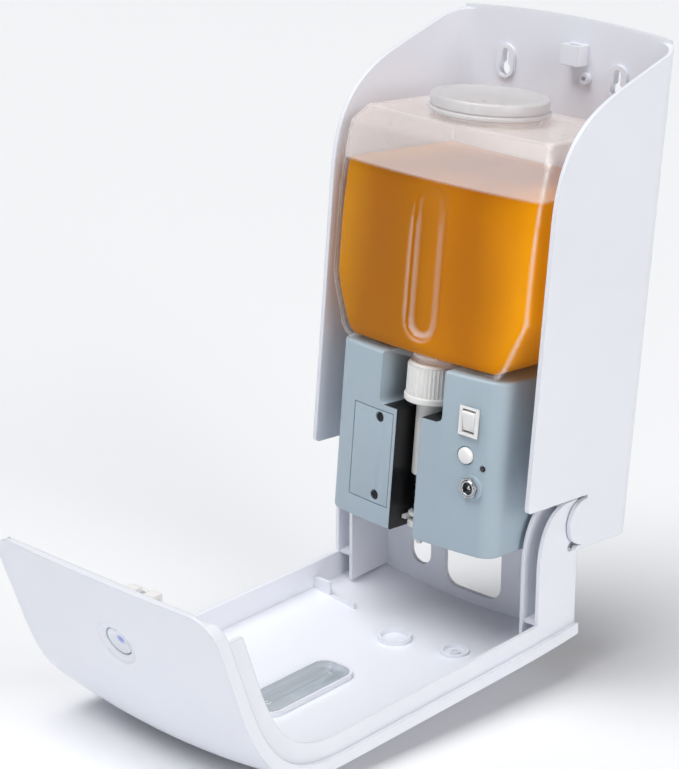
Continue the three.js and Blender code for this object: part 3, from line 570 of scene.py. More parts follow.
def makeHousing():
    h = housing
    body = prism("wall_housing", housingPlan(0), "z", h["base"], 130)
    combine(body, [prism("inner", housingPlan(h["sheet"]), "z", h["base"] - 1, 131)], "DIFFERENCE")
    combine(body, [prism("side", housingSide(), "x", -70, 70)], "INTERSECT")
    combine(body, [prism("front", housingFront(), "y", -100, 5)], "INTERSECT")
    keyholes = (-h["keyholeX"], h["keyholeX"])
    posts = [(x, z) for x in (-h["postX"], h["postX"]) for z in h["postHeights"]]
    extras = []
    for x0 in h["ribStarts"]:
        x1 = x0 + h["ribSheet"]
        y, z = h["hingeY"], h["hingeZ"]
        rib = [(-1.5, -66), (-1.5, -102), (y + 2, z - 4.2), (y - 4.4, z - 1), (y - 4.4, -98), (-30, -80)]
        extras += [prism("rib", rib, "x", x0, x1), barX(y, z, 5, x0, x1)]
    for x in keyholes:
        extras.append(prism("plate", roundedBox(x, h["keyholeZ"], 5.5, 8.5, 5.4), "y", -4.2, -2))
    for x, z in posts:
        extras.append(barY(x, z, 4.5, h["unitBack"] + 2.4, -1.5))
    latch = h["latchX"]
    extras.append(box("catch", (latch - 5.3, -11.2, 102.5), (latch + 5.3, -2, 112.5)))
    extras.append(barY(h["bossX"], h["bossZ"], 3, -5.5, -2))
    extras.append(box("foot", (-50, -12, h["base"]), (50, -2, h["base"] + 2.4)))
    combine(body, extras, "UNION")
    tools = []
    for x in keyholes:
        z, slot = h["keyholeZ"], h["keyholeSlot"]
        tools += [
            barY(x, z - 3.5, h["keyholeRound"], -6, 1),
            box("slot", (x - slot, -6.2, z - 3.5), (x + slot, 1.2, z + 4)),
            barY(x, z + 4, slot, -6.1, 1.1),
        ]
    for x, z in posts:
        tools.append(barY(x, z, 1.35, h["unitBack"] - 1, -38))
    tools.append(box("pocket", (latch - 3.6, -9.4, 105), (latch + 3.6, -4.6, 114)))
    tools.append(barY(h["bossX"], h["bossZ"], 1.2, -8, 1))
    tools.append(barX(h["hingeY"], h["hingeZ"], h["pin"], -64, 64))
    combine(body, tools, "DIFFERENCE")
    return finishPiece(body, "housing", mouldedAbsWhite, ["back_housing"])


makeHousing()
print("stage: wall housing made")

# ---- front cover, shaped closed and then swung to its open rest ----
cover = {
    "width": 136, "bottom": -124.3, "front": -98, "bow": 6.4, "skin": 1.5, "sheet": 2.2,
    "hingeY": -49.1, "hingeZ": -118.7, "pin": 2.26, "openAngle": 95.26,
    "rim": -0.6, "rimCorner": 13, "lip": 6, "flange": 15.5, "flangeX": 65.2, "armInnerX": 54, "armSheet": 2,
    "lockTilt": 19.9, "lockY": -35.4, "lockZ": 117.2, "lockRadius": 7.0, "dishRadius": 11.2,
    "cupX": -2, "cupZ": -68, "bossX": 31, "bossZ": -74.5, "ribLow": -78, "ribHigh": -76.2,
    # each rib step: from x to x, how far its foot and its top stand out
    "ribSteps": (
        (-64, -58.4, -98.6, -91), (-58.7, -52.5, -99.5, -91),
        (-53, -45, -100.3, -97.8), (-45.2, -36, -101.4, -97.8)),
    # each slot in the bottom wall: middle x, half width, y from and to
    "slots": ((-31, 6.5, -89, -64), (3, 18, -94.5, -60), (42, 6.5, -91, -66)),
    "windowZ": 4,
}


def swingOpen(obj):
    c = cover
    pivot = Vector((0, c["hingeY"] * mm, c["hingeZ"] * mm))
    turn = Matrix.Rotation(math.radians(c["openAngle"]), 4, "X")
    obj.data.transform(Matrix.Translation(pivot) @ turn @ Matrix.Translation(-pivot))
    return obj


def coverProfile():
    c = cover
    f = c["front"]
    points = [(12, 132.4), (0, 128.06), (-15, 122.65), (-30, 117.2)]
    points += bezier((-45, 111.8), (-75, 101), (f, 88), (f, 45), 34)
    points += [(f, 45 - 115 * i / 8) for i in range(1, 8)]
    for i in range(13):
        t = i / 12
        y = (1 - t) ** 2 * f + 2 * t * (1 - t) * f + t * t * (f + 1.7)
        z = (1 - t) ** 2 * -70 + 2 * t * (1 - t) * -100 + t * t * c["bottom"]
        points.append((y, z))
    return points


def inward(points, distance):
    out = []
    for i, p in enumerate(points):
        a, b = points[max(0, i - 1)], points[min(len(points) - 1, i + 1)]
        dx, dy = b[0] - a[0], b[1] - a[1]
        length = math.hypot(dx, dy)
        out.append((p[0] - dy / length * distance, p[1] + dx / length * distance))
    return out


def shellBand(half, start, end):
    line = coverProfile()
    outline = inward(line, start) + inward(line, end)[::-1]
    return bowFront(prism("band", outline, "x", -half, half, 32), cover["bow"], cover["width"] / 2)


def lockDisc(profile, name="disc", sides=72):
    c = cover
    disc = turned(name, profile, (0, 0), "z", sides)
    spin = Matrix.Rotation(math.radians(c["lockTilt"]), 4, "X")
    disc.data.transform(Matrix.Translation(Vector((0, c["lockY"] * mm, c["lockZ"] * mm))) @ spin)
    return disc


def floorAt(x):
    # the bowed front's inner face at one x
    return cover["front"] - cover["bow"] * (1 - (x / (cover["width"] / 2)) ** 2) + cover["skin"]


def armOutline():
    b = cover["bottom"]
    points = [(-96, b), (-27, b), (-25.6, b + 0.6), (-25, b + 2)]
    points += bezier((-25, -114), (-26, -103), (-35, -95), (-56, -94.9), 14)
    return points + [(-96, -94.9)]


def coverShell():
    c = cover
    b, fx, s = c["bottom"], c["flangeX"], c["sheet"]
    half, corner = c["width"] / 2, c["rimCorner"]
    plan = [(half, -130)] + arc(half - corner, c["rim"] - corner, corner, 0, 90, 14)
    plan += arc(corner - half, c["rim"] - corner, corner, 90, 180, 14) + [(-half, -130)]
    body = combine(shellBand(half, 0, c["lip"]), [prism("keep", plan, "z", b, 200)], "INTERSECT")
    combine(body, [box("plateRoom", (-200, -3.4, -200), (200, 200, 125.6))], "DIFFERENCE")
    body.name = "swing_cover"
    sideKeep = box("keep", (-200, -200, b), (200, -14.5, 200))
    flange = combine(shellBand(fx, 2.4, c["flange"]), [sideKeep], "INTERSECT")
    combine(body, [flange], "UNION")
    roomKeep = box("keep", (-200, -200, b + s), (200, -13, 200))
    room = combine(shellBand(fx - 2, s, c["flange"] + 8), [roomKeep], "INTERSECT")
    mouthKeep = box("keep", (-200, -14, 60), (200, 200, 200))
    mouth = combine(shellBand(fx - 2, 4.5, c["flange"] + 8), [mouthKeep], "INTERSECT")
    combine(body, [room], "DIFFERENCE")
    combine(body, [mouth], "DIFFERENCE")
    return body


def hingeArms():
    # a pair of arm plates on each side, with a web and a rounded channel between them
    c = cover
    b, fx, s, thick = c["bottom"], c["flangeX"], c["sheet"], c["armSheet"]
    extras = []
    for side in (-1, 1):
        outerX = fx - thick if side > 0 else -fx
        innerX = c["armInnerX"] if side > 0 else -c["armInnerX"] - thick
        for x in (outerX, innerX):
            extras.append(prism("arm", armOutline(), "x", x, x + thick))
        x0 = c["armInnerX"] + 1 if side > 0 else -fx + 1
        x1 = fx - 1 if side > 0 else -c["armInnerX"] - 1
        extras.append(box("web", (x0, -96, b), (x1, -56, b + s)))
        extras.append(box("web", (x0, -84, b), (x1, -82, -96)))
        foot = b + s + 4.6
        cove = [(x0, b + s - 0.5), (x1, b + s - 0.5), (x1, foot)]
        cove += arc((x0 + x1) / 2, foot, (x1 - x0) / 2 - 0.6, 0, -180, 16) + [(x0, foot)]
        extras.append(prism("cove", cove, "y", -84, -56))
    return extras


def makeCover():
    c = cover
    b, s, wide, z = c["bottom"], c["sheet"], c["armInnerX"] + 1, c["windowZ"]
    cupX, cupZ, bossX, bossZ = c["cupX"], c["cupZ"], c["bossX"], c["bossZ"]
    cupY, bossY = floorAt(cupX), floorAt(bossX)
    body = coverShell()
    extras = hingeArms()
    extras.append(box("floor", (-wide, -96, b), (wide, -51, b + s)))
    extras.append(box("curb", (-wide, -53, b + 0.2), (wide, -51.1, b + s + 1.6)))
    extras.append(barY(cupX, cupZ, 8.5, cupY, cupY + 3.2))
    extras.append(barY(bossX, bossZ, 7.2, bossY, bossY + 2.4))
    # the rib steps down with the bowed floor, and its foot stays inside the skin
    for x0, x1, foot, top in c["ribSteps"]:
        extras.append(box("rib", (x0, foot, c["ribLow"]), (x1, top, c["ribHigh"])))
    extras.append(prism("frame", roundedBox(0, z, 11.5, 31, 8), "y", floorAt(0), floorAt(0) + 3.4))
    extras.append(lockDisc([(0, -7), (9.6, -7), (9.6, -1.2), (0, -1.2)]))
    combine(body, extras, "UNION")
    tools = []
    for x, half, y0, y1 in c["slots"]:
        slot = roundedBox(x, (y0 + y1) / 2, half, (y1 - y0) / 2, min(half, 8) - 0.05)
        tools.append(prism("slot", slot, "z", b - 3, b + 3))
    tools.append(barY(cupX, cupZ, 6.9, cupY + 0.6, -80))
    island = barY(bossX, bossZ, 2.6, -120, bossY + 1.7)
    tools.append(combine(barY(bossX, bossZ, 5.6, bossY + 0.6, -80), [island], "DIFFERENCE"))
    tools.append(barY(bossX, bossZ, 1.3, bossY + 0.6, -80))
    # the lock button stands in a wide shallow dish
    hole, dish = c["lockRadius"] + 0.5, c["dishRadius"]
    tools.append(lockDisc([(0, -8), (hole, -8), (hole, -1.15), (dish - 2.2, -0.95), (dish - 0.6, -0.5),
                           (dish, 0.5), (dish, 6), (0, 6)]))
    tools.append(prism("window", roundedBox(0, z, 8, 27.5, 6), "y", -110, -80))
    tools.append(prism("window", roundedBox(0, z, 10.3, 29.8, 7), "y", floorAt(0) + 1.4, -80))
    tools.append(barX(c["hingeY"], c["hingeZ"], c["pin"], -70, 70))
    combine(body, tools, "DIFFERENCE")
    swingOpen(body)
    return finishPiece(body, "cover", mouldedAbsWhite, ["front_cover"])


makeCover()
print("stage: front cover made")


def makeCoverFittings():
    y, z, r = floorAt(0), cover["windowZ"], cover["lockRadius"]
    plate = prism("plate", roundedBox(0, z, 10, 29.5, 6.8), "y", y + 1.7, y + 3.4)
    nose = prism("nose", roundedBox(0, z, 7.7, 27.2, 5.8), "y", y - 1.2, y + 2)
    ridge = prism("ridge", roundedBox(0, z, 3.2, 23, 3.1), "y", y + 3.2, y + 4.4)
    window = softenEdges(combine(plate, [nose, ridge], "UNION"), 0.5, 3)
    window.name = "level_window_pane"
    swingOpen(window)
    finishPiece(window, "cover", polishedSanClear, ["level_window"])
    # dished button: its face sinks towards the middle
    profile = [(0, -8.2), (r - 0.6, -8.2), (r, -7.6), (r, -1.9), (r - 0.2, -1.5), (r - 0.7, -1.4),
               (r - 1.1, -1.7), (4.4, -2.3), (2.6, -2.7), (0, -2.85)]
    button = lockDisc(profile, "lock_button_dished", 96)
    swingOpen(button)
    finishPiece(button, "lock", pearlAcrylic(lockHeart()), ["lock_button"], 40)


def lockHeart():
    # middle of the button's face, after the cover has swung open
    c = cover
    tilt = Matrix.Rotation(math.radians(c["lockTilt"]), 4, "X")
    point = tilt @ Vector((0, 0, -2.85 * mm)) + Vector((0, c["lockY"] * mm, c["lockZ"] * mm))
    pivot = Vector((0, c["hingeY"] * mm, c["hingeZ"] * mm))
    return pivot + Matrix.Rotation(math.radians(c["openAngle"]), 4, "X") @ (point - pivot)


makeCoverFittings()
print("stage: window and lock button made")

# ---- drive unit ----
drive = {
    "half": 51, "front": -94, "bow": 5.5, "back": -52, "top": -33, "base": -120, "skin": 2, "corner": 8,
    "recessHalf": 19.5, "recessFloor": -58.6, "channelHalf": 7.5, "channelBack": -73.5,
    "rocker": (35, -54), "dose": (34, -71), "led": (43.5, -75.5), "jack": (38, -86),  # x and z
    "door": (-36, -9.8, -109, -62), "doorGap": 0.35,  # x from and to, z from and to
    "doorScrewX": -18.5, "doorScrewDown": 3.4, "doorScrewUp": 4,
    "pinionZ": -88, "eyes": (("left", -29), ("right", 42)), "eyeY": -84, "eyeHole": 5.6,
}


def doorScrews():
    d = drive
    low, high = d["door"][2:]
    return (("upper", high - d["doorScrewDown"]), ("lower", low + d["doorScrewUp"]))


def driveFront(x, inset=0):
    return drive["front"] - drive["bow"] * (1 - (x / drive["half"]) ** 2) + inset


def drivePlan(inset, backY):
    half = drive["half"] - inset
    r = drive["corner"] - inset
    edge = half - r
    start = driveFront(half, inset) + r
    points = [(half, backY)]
    drop = driveFront(edge, inset) - driveFront(half, inset)
    for i in range(17):
        a = math.pi / 2 * i / 16
        points.append((edge + r * math.cos(a), start - r * math.sin(a) + drop * i / 16))
    for i in range(1, 32):
        x = edge * (1 - i / 16)
        points.append((x, driveFront(x, inset)))
    return points + [(-x, y) for x, y in reversed(points[:18])]


def makeDriveCase():
    d = drive
    s, room, slot = d["skin"], d["recessHalf"], d["channelHalf"]
    case = softenEdges(prism("drive_case", drivePlan(0, d["back"]), "z", d["base"], d["top"]), 1.4, 3, 60)
    inner = prism("inner", drivePlan(s, d["back"] + 5), "z", d["base"] + s, d["top"] - s)
    walls = [
        box("wall", (-room - s, -120, d["recessFloor"] - s), (room + s, -67, 0)),
        box("wall", (-slot - s, -121, -130), (slot + s, d["channelBack"] + s, 1)),
    ]
    combine(inner, walls, "DIFFERENCE")
    # the recess is cut with rounded inner corners
    recess = prism("recess", roundedBox(0, d["recessFloor"] + 40, room, 40, 3), "y", -120, -69)
    channel = box("channel", (-slot, -121, -130), (slot, d["channelBack"], 1))
    combine(case, [inner, recess, channel], "DIFFERENCE")
    jackX, jackZ = d["jack"]
    ringFront = driveFront(jackX, -0.9)
    combine(case, [barY(jackX, jackZ, 6.4, ringFront, ringFront + 2.5)], "UNION")
    x0, x1, z0, z1 = d["door"]
    rx, rz = d["rocker"]
    gap = d["doorGap"]
    tools = [
        box("door", (x0 - gap, -105, z0 - gap), (x1 + gap, -90, z1 + gap)),
        box("rocker", (rx - 4.9, -105, rz - 6.4), (rx + 4.9, -88, rz + 6.4)),
        barY(*d["dose"], 4.5, -105, -88),
        barY(*d["led"], 1.4, -105, -88, 24),
        barY(jackX, jackZ, 4.3, -105, -88),
    ]
    tools += [barZ(x, d["eyeY"], d["eyeHole"], d["base"] - 2, d["base"] + 4) for side, x in d["eyes"]]
    tools.append(box("rackSlot", (-3.6, -76, d["pinionZ"] - 10), (3.6, -68, d["pinionZ"] + 10)))
    combine(case, tools, "DIFFERENCE")
    # the channel's own walls get the black finish as painted shade, the rest of the case blue grey
    case.data.materials.clear()
    case.data.materials.append(mouldedAbsBlueGrey)
    case.data.materials.append(blackAbsAndChannelShade)
    for face in case.data.polygons:
        x, y, z = (c / mm for c in face.center)
        inside = abs(x) < slot + 0.1 and -93 < y < d["channelBack"] + s + 0.1
        face.material_index = 1 if inside and z < d["recessFloor"] + 0.5 else 0
    return finishPiece(case, "housing", None, ["drive_shell"])


def makeDoor():
    d = drive
    x0, x1, z0, z1 = d["door"]
    x = d["doorScrewX"]
    door = prism("cell_door", drivePlan(0, d["back"]), "z", z0, z1)
    combine(door, [prism("inner", drivePlan(d["skin"], d["back"]), "z", z0 - 1, z1 + 1)], "DIFFERENCE")
    combine(door, [box("keep", (x0, -105, z0 - 2), (x1, -90, z1 + 2))], "INTERSECT")
    tools = []
    for name, z in doorScrews():
        tools += [barY(x, z, 1.5, -105, -90), barY(x, z, 2.6, -106, driveFront(x, 0.8))]
    combine(door, tools, "DIFFERENCE")
    softenEdges(door, 0.3, 2, 50)
    finishPiece(door, "door", mouldedAbsBlueGrey, ["battery_door"])
    for name, z in doorScrews():
        face = driveFront(x, 0.2)
        profile = [(0, face), (1.5, face + 0.02), (2.1, face + 0.18), (2.3, face + 0.5), (2.25, face + 0.62),
                   (1.2, face + 0.62), (1.2, face + 5), (0, face + 5.4)]
        head = turned("screw", profile, (x, z), "y", 40)
        cross = [box("cut", (x - 1.4, face - 1, z - 0.28), (x + 1.4, face + 0.35, z + 0.28)),
                 box("cut", (x - 0.28, face - 1.1, z - 1.4), (x + 0.28, face + 0.34, z + 1.4))]
        combine(head, cross, "DIFFERENCE")
        head.name = "cell_door_screw_" + name
        finishPiece(head, "door", blackenedSteel, ["door_screw_" + name])


makeDriveCase()
makeDoor()
print("stage: drive case and door made")


def makeControls():
    d = drive
    rx, rz = d["rocker"]
    profile = [(-99.5, rz + 4.4), (-99.3, rz + 4.9), (-94, rz + 4.9), (-93.2, rz), (-94, rz - 4.9),
               (-97.3, rz - 4.9), (-97.6, rz - 4.5)]
    profile += bezier((-98.2, rz - 2), (-98.5, rz - 0.5), (-98.9, rz + 1), (-99.3, rz + 3), 8)
    rocker = softenEdges(prism("rocker_cap", profile, "x", rx - 3.6, rx + 3.6), 0.45, 3, 50)
    finishPiece(rocker, "rocker", mouldedAcetalWhite, ["power_rocker"])
    top = -98.8
    cap = [(0, top), (2.2, top + 0.08), (3.3, top + 0.35), (3.9, top + 0.9), (4.1, top + 1.6),
           (4.1, -92.9), (0, -92.9)]
    dose = turned("dose_button_domed", cap, d["dose"], "y", 64)
    finishPiece(dose, "dose", mouldedAcetalWhite, ["dose_button"], 40)
    sleeve = [(2.9, -92.5), (2.9, -98.7), (3.05, -98.9), (3.6, -98.9)]
    for i in range(10):
        y = -98.7 + i * 0.5
        sleeve += [(3.75, y), (4.0, y + 0.25)]
    sleeve += [(4.0, -91), (0.01, -91), (0.01, -92.5)]
    barrel = turned("jack_barrel", sleeve, d["jack"], "y", 56)
    needle = [(0, -98.2), (0.6, -98.1), (1.0, -97.7), (1.0, -91.5), (0, -91.5)]
    pin = turned("jack_pin", needle, d["jack"], "y", 32)
    jack = merged("jack_socket", [barrel, pin])
    finishPiece(jack, "housing", nickelPlatedSteel, ["dc_jack"])
    nut = prism("nut", arc(d["jack"][0], d["jack"][1], 5.3, 15, 315, 5), "y", -98.5, -97.55)
    dish = turned("dish", [(0, -99), (4.9, -98.65), (5.6, -98.2), (5.6, -97), (0, -97)], d["jack"], "y", 48)
    combine(nut, [dish], "INTERSECT")
    combine(nut, [barY(*d["jack"], 4.1, -100, -90)], "DIFFERENCE")
    nut.name = "jack_nut"
    finishPiece(nut, "housing", nickelPlatedSteel, ["dc_jack_nut"])
    b = d["base"]
    dome = [(0, b + 5), (5.2, b + 5), (5.2, b - 1.1), (4.8, b - 1.5), (3.8, b - 1.5), (3.4, b - 1.1),
            (3.3, b - 0.7), (2.0, b - 0.95), (0, b - 1.1)]
    for side, x in d["eyes"]:
        eye = turned("sensor_eye_" + side, dome, (x, d["eyeY"]), "z", 64)
        finishPiece(eye, "housing", smokedPolycarbonate, ["sensor_lens_" + side], 40)


makeControls()
print("stage: controls made")

# ---- bottle, soap, caps and pump ----
bottle = {
    "half": 60, "floor": -32.5, "top": 80, "wall": 1.1, "bow": 5, "fill": 54, "soapInset": 1.9,
    "capY": -57, "capZ": 84, "capRadius": 29.3, "capSkirt": 25.4, "mouth": 23.6,
    "pumpY": -84, "outlet": 8, "throat": 6.5, "voxel": 1.3, "rounding": 8,
    "grooveHalf": 8, "grooveZ": 14, "grooveReach": 36, "grooveFloor": -95.2,
}


def bottleForm(inset):
    o = bottle
    half, low, high = o["half"] - inset, o["floor"] + inset, o["top"] - inset
    side = [(-8 - inset, high - 4), (-12 - inset, high), (-80 + inset, high)]
    side += bezier((-87.5 + inset, high - 8), (-91 + inset, 55), (-93 + inset, 40), (-93.3 + inset, 20), 12)
    side += [(-93.5 + inset, low + 3), (-92 + inset, low), (-8 - inset, low)]
    front = [(half, -3), (half, high - 8), (half - 5, high), (-half + 5, high), (-half, high - 8), (-half, -3),
             (-51 + inset, low + 6), (-46 + inset, low), (46 - inset, low), (51 - inset, low + 6)]
    body = bowFront(prism("form", side, "x", -half, half, 30), o["bow"], o["half"])
    return combine(body, [prism("front", front, "y", -110, 10)], "INTERSECT")


def softSkin(obj, voxel, rounds):
    step = obj.modifiers.new("remesh", "REMESH")
    step.mode = "VOXEL"
    step.voxel_size = voxel * mm
    ease = obj.modifiers.new("ease", "SMOOTH")
    ease.factor = 0.5
    ease.iterations = rounds
    return applyAll(obj)


def groove(grow, floorY):
    # the pressed groove, with round ends
    o = bottle
    half, reach = o["grooveHalf"] + grow, o["grooveReach"] + grow
    return prism("groove", roundedBox(0, o["grooveZ"], half, reach, half - 0.1, 12), "y", -115, floorY)


def makeBottle():
    o = bottle
    skin = bottleForm(0)
    combine(skin, [groove(0, o["grooveFloor"])], "DIFFERENCE")
    softSkin(skin, o["voxel"], o["rounding"])
    bm = bmesh.new()
    bm.from_mesh(skin.data)
    fillAt, outletAt = Vector((0, o["capY"] * mm)), Vector((0, o["pumpY"] * mm))
    high, low = (o["top"] - 3) * mm, (o["floor"] + 3) * mm
    gone = [v for v in bm.verts if v.co.z > high and (v.co.xy - fillAt).length < o["mouth"] * mm]
    gone += [v for v in bm.verts if v.co.z < low and (v.co.xy - outletAt).length < o["outlet"] * mm]
    bmesh.ops.delete(bm, geom=gone, context="VERTS")
    bm.to_mesh(skin.data)
    bm.free()
    wall = skin.modifiers.new("wall", "SOLIDIFY")
    wall.thickness = o["wall"] * mm
    wall.offset = -1
    applyAll(skin)
    t, f = o["top"], o["floor"]
    rim = [(22.5, t - 1.4), (22.5, t + 8), (24.2, t + 8), (24.4, t + 7.6)]
    for i in range(3):
        thread = t + 6.4 - 2.2 * i
        rim += [(24.4, thread), (25.0, thread - 0.5), (24.4, thread - 1)]
    rim += [(24.4, t + 0.6), (25.0, t - 0.4), (25.0, t - 1.4)]
    filler = turned("filler", rim, (0, o["capY"]), "z", 96)
    tube = [(7, f + 2), (7, f - 18), (9, f - 18), (9, f + 1.4), (9.6, f + 2)]
    neck = turned("neck", tube, (0, o["pumpY"]), "z", 64)
    shell = merged("soap_bottle", [skin, filler, neck])
    return finishPiece(shell, "bottle_body", blownPolyethyleneMilky, ["bottle"], 60)


def makeSoap():
    o = bottle
    inset = o["soapInset"]
    body = bottleForm(inset)
    combine(body, [groove(inset - 0.2, o["grooveFloor"] + inset)], "DIFFERENCE")
    softSkin(body, o["voxel"], o["rounding"])
    # level surface at the filling height
    bm = bmesh.new()
    bm.from_mesh(body.data)
    geom = list(bm.verts) + list(bm.edges) + list(bm.faces)
    level = (0, 0, o["fill"] * mm)
    cutAt = bmesh.ops.bisect_plane(bm, geom=geom, plane_co=level, plane_no=(0, 0, 1), clear_outer=True)
    rim = [e for e in cutAt["geom_cut"] if isinstance(e, bmesh.types.BMEdge)]
    bmesh.ops.holes_fill(bm, edges=rim, sides=0)
    bm.to_mesh(body.data)
    bm.free()
    r, low, high = o["throat"], o["floor"] - 13.1, o["floor"] + 3.2
    throat = turned("throat", [(0, low), (r, low), (r, high), (0, high)], (0, o["pumpY"]), "z", 48)
    load = merged("soap_load", [body, throat])
    return finishPiece(load, "bottle_body", liquidSoapAmber, ["soap_fill"], 50)


blownPolyethyleneMilky = blownPolyethylene()
liquidSoapAmber = liquidSoap()
makeBottle()
makeSoap()
print("stage: bottle and soap made")


def makeRefillLid():
    o = bottle
    z, r, skirt = o["capZ"], o["capRadius"], o["capSkirt"]
    profile = [(0, z + 4.4), (skirt, z + 4.4), (skirt, z - 1), (r - 0.5, z - 1), (r, z - 0.5),
               (r, z + 0.6), (r - 0.5, z + 1.0), (r - 1.6, z + 1.2), (r - 1.6, z + 1.5), (r - 1.0, z + 1.7),
               (r - 1.0, z + 6.0), (r - 1.5, z + 6.7), (r - 2.4, z + 7), (r - 5.2, z + 7),
               (r - 5.6, z + 6.6), (r - 6.2, z + 6.5), (0, z + 6.5)]
    lid = turned("refill_lid", profile, (0, o["capY"]), "z", 128)
    return finishPiece(lid, "refill", mouldedPolypropyleneCloudy, ["refill_cap"], 40)


def makeOutletCap():
    # fine grip ribs all round
    y = bottle["pumpY"]
    ribs, radius, ribHeight = 40, 11.8, 0.4
    outline = []
    for k in range(ribs * 6):
        a = 2 * math.pi * k / (ribs * 6)
        r = radius + ribHeight * max(0.0, math.cos(k / 6 * 2 * math.pi)) ** 0.7
        outline.append((r * math.cos(a), y + r * math.sin(a)))
    grip = prism("grip", outline, "z", -51.2, -36.4)
    crown = [(9.3, -36.6), (9.3, -35.2), (11.0, -35.2), (11.6, -35.6), (11.9, -36.6)]
    skirt = [(5.4, -54.4), (12.4, -54.4), (12.9, -53.9), (12.9, -51.5), (12.5, -51), (5.4, -51)]
    rings = [turned(name, profile, (0, y), "z", 96) for name, profile in (("crown", crown), ("skirt", skirt))]
    combine(grip, [barZ(0, y, 9.3, -51.6, -30)], "DIFFERENCE")
    shell = merged("outlet_cap_ribbed", [grip] + rings)
    return finishPiece(shell, "bottle_body", mouldedPolypropyleneNatural, ["outlet_cap"], 30)


def makePump():
    centre = (0, bottle["pumpY"])
    tube = [(4.1, -92), (5.9, -92), (6.4, -91.5), (6.4, -55.4), (6.0, -55), (5.1, -55), (5.1, -50.2),
            (6.7, -50.2), (6.7, -46), (4.1, -46)]
    stem = [(1.1, -118.9), (5.9, -118.9), (6.5, -118.3), (6.5, -116.4), (5.9, -115.8), (4.0, -115.8),
            (4.0, -113.2), (6.1, -113.2), (6.5, -112.8), (6.5, -112), (6.1, -111.6), (2.6, -111.6),
            (2.6, -82), (3.9, -82), (3.9, -78), (1.1, -78)]
    tip = [(0, -119.2), (2.9, -119.2), (2.85, -120.4), (2.5, -121.2), (2.5, -122.2), (2.2, -124.5),
           (1.9, -126.8), (1.3, -127.8), (0, -128.2)]
    white = mouldedPolypropyleneNatural
    outer = turned("pump_tube", tube, centre, "z", 64)
    finishPiece(outer, "bottle_body", white, ["pump_body"], 40)
    slider = turned("pump_stem", stem, centre, "z", 64)
    finishPiece(slider, "piston", white, ["pump_piston"], 40)
    nozzle = turned("drip_nozzle", tip, centre, "z", 48)
    finishPiece(nozzle, "piston", pressedSiliconeGrey, ["drip_tip"], 50)


makeRefillLid()
makeOutletCap()
makePump()
print("stage: caps and pump made")

# ---- pieces kept from the frame, each with its own finish ----
keptFinish = {
    "drive_back_plate": mouldedAbsBlueGrey, "cell_tray": blackAbsAndChannelShade, "status_led": smokedPolycarbonate,
    "contact_upper": rolledBrass, "contact_lower": rolledBrass, "control_board": printedBoardGreen,
    "switch_body": mouldedAcetalWhite, "lift_slider": mouldedAcetalWhite, "rack_pinion": mouldedAcetalWhite,
    "latch_slider": mouldedAcetalWhite, "refill_seal": pressedSiliconeGrey, "gear_motor": nickelPlatedSteel,
    "hinge_pin_left": nickelPlatedSteel, "hinge_pin_right": nickelPlatedSteel,
    "pump_spring": nickelPlatedSteel,
}
for number in range(1, 5):
    keptFinish["unit_screw_%d" % number] = nickelPlatedSteel
    keptFinish["cell_%d" % number] = shrunkSleeveSlate
for name, material in keptFinish.items():
    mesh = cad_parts[name].data
    mesh.materials.clear()
    mesh.materials.append(material)
print("stage: kept pieces finished")

# ---- floor, light and camera ----
studio = {
    "floorDrop": 1.0, "floorSize": 9000, "floorColour": "F3F4F6", "floorShade": "F0F1F3",
    "worldStrength": 0.2, "worldColour": "F3F5FA",
    "cameraPlace": (697.5, -959.0, 285.4), "azimuth": 40.763, "elevation": 16.704, "roll": 3.97,
    "lens": 114.07, "shiftX": -0.0027, "nearest": 0.05, "farthest": 30,
}

# Paper sweep, coated: an even pale floor with the faintest cloud
coatedPaper = moulded("coated studio paper", {
    "colour": studio["floorColour"], "shade": studio["floorShade"], "cloudSize": 800,
    "grainSize": 3, "grainDepth": 0.01, "grainStrength": 0.02,
    "roughness": 0.7, "roughnessSpread": 0.02, "edge": 0.5, "ior": 1.53,
})
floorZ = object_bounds()[0].z / mm - studio["floorDrop"]
half = studio["floorSize"] / 2
corners = [(x, y, floorZ) for x, y in ((-half, -half), (half, -half), (half, half), (-half, half))]
floor = meshObject("studio_floor", corners, [[0, 1, 2, 3]])
floor.data.materials.append(coatedPaper)

world = bpy.data.worlds.new("studio air")
bpy.context.scene.world = world
world.use_nodes = True
sky = world.node_tree.nodes["Background"]
sky.inputs["Color"].default_value = toLinear(studio["worldColour"])
sky.inputs["Strength"].default_value = studio["worldStrength"]


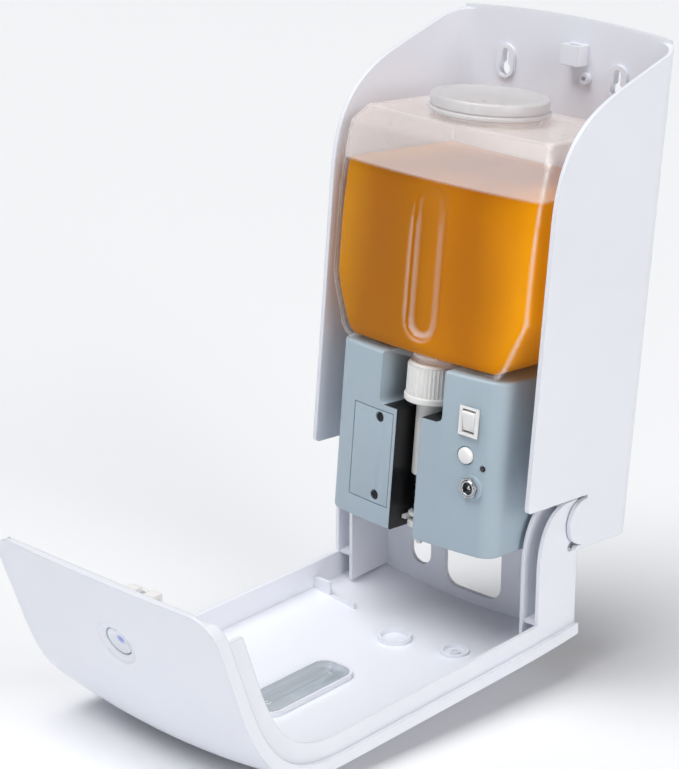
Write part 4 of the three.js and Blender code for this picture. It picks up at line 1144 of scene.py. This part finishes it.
def softLamp(name, place, target, size, power, colour="FFFFFF"):
    data = bpy.data.lights.new(name, "AREA")
    data.shape = "RECTANGLE"
    data.size, data.size_y = size[0] * mm, size[1] * mm
    data.energy = power
    data.color = toLinear(colour)[:3]
    lamp = bpy.data.objects.new(name, data)
    bpy.context.scene.collection.objects.link(lamp)
    lamp.location = Vector(place) * mm
    lamp.rotation_mode = "QUATERNION"
    lamp.rotation_quaternion = (Vector(target) * mm - lamp.location).to_track_quat("-Z", "Y")
    return lamp


def softSun(name, place, strength, spread, colour="FFFFFF"):
    data = bpy.data.lights.new(name, "SUN")
    data.energy = strength
    data.angle = math.radians(spread)
    data.color = toLinear(colour)[:3]
    lamp = bpy.data.objects.new(name, data)
    bpy.context.scene.collection.objects.link(lamp)
    lamp.rotation_mode = "QUATERNION"
    lamp.rotation_quaternion = (-Vector(place)).to_track_quat("-Z", "Y")
    return lamp


softSun("key_right", (1500, -260, 620), 1.32, 40, "FFFCF9")
softSun("high_front", (-200, -520, 1300), 2.5, 46)
softLamp("fill_front", (-500, -1500, 500), (0, -60, -60), (1200, 900), 1.2, "F6F8FF")


def placeCamera():
    data = bpy.data.cameras.new("view")
    data.sensor_width = 36
    data.lens = studio["lens"]
    data.shift_x = studio["shiftX"]
    data.clip_start, data.clip_end = studio["nearest"], studio["farthest"]
    camera = bpy.data.objects.new("view", data)
    bpy.context.scene.collection.objects.link(camera)
    a, e, r = (math.radians(studio[k]) for k in ("azimuth", "elevation", "roll"))
    back = Vector((math.sin(a) * math.cos(e), -math.cos(a) * math.cos(e), math.sin(e)))
    level = (-back).cross(Vector((0, 0, 1))).normalized()
    upright = level.cross(-back)
    right = level * math.cos(r) + upright * math.sin(r)
    up = upright * math.cos(r) - level * math.sin(r)
    turn = Matrix((right, up, back)).transposed().to_4x4()
    camera.matrix_world = Matrix.Translation(Vector(studio["cameraPlace"]) * mm) @ turn
    bpy.context.scene.camera = camera


placeCamera()
bpy.context.scene.view_settings.view_transform = "Standard"
print("stage: studio set")
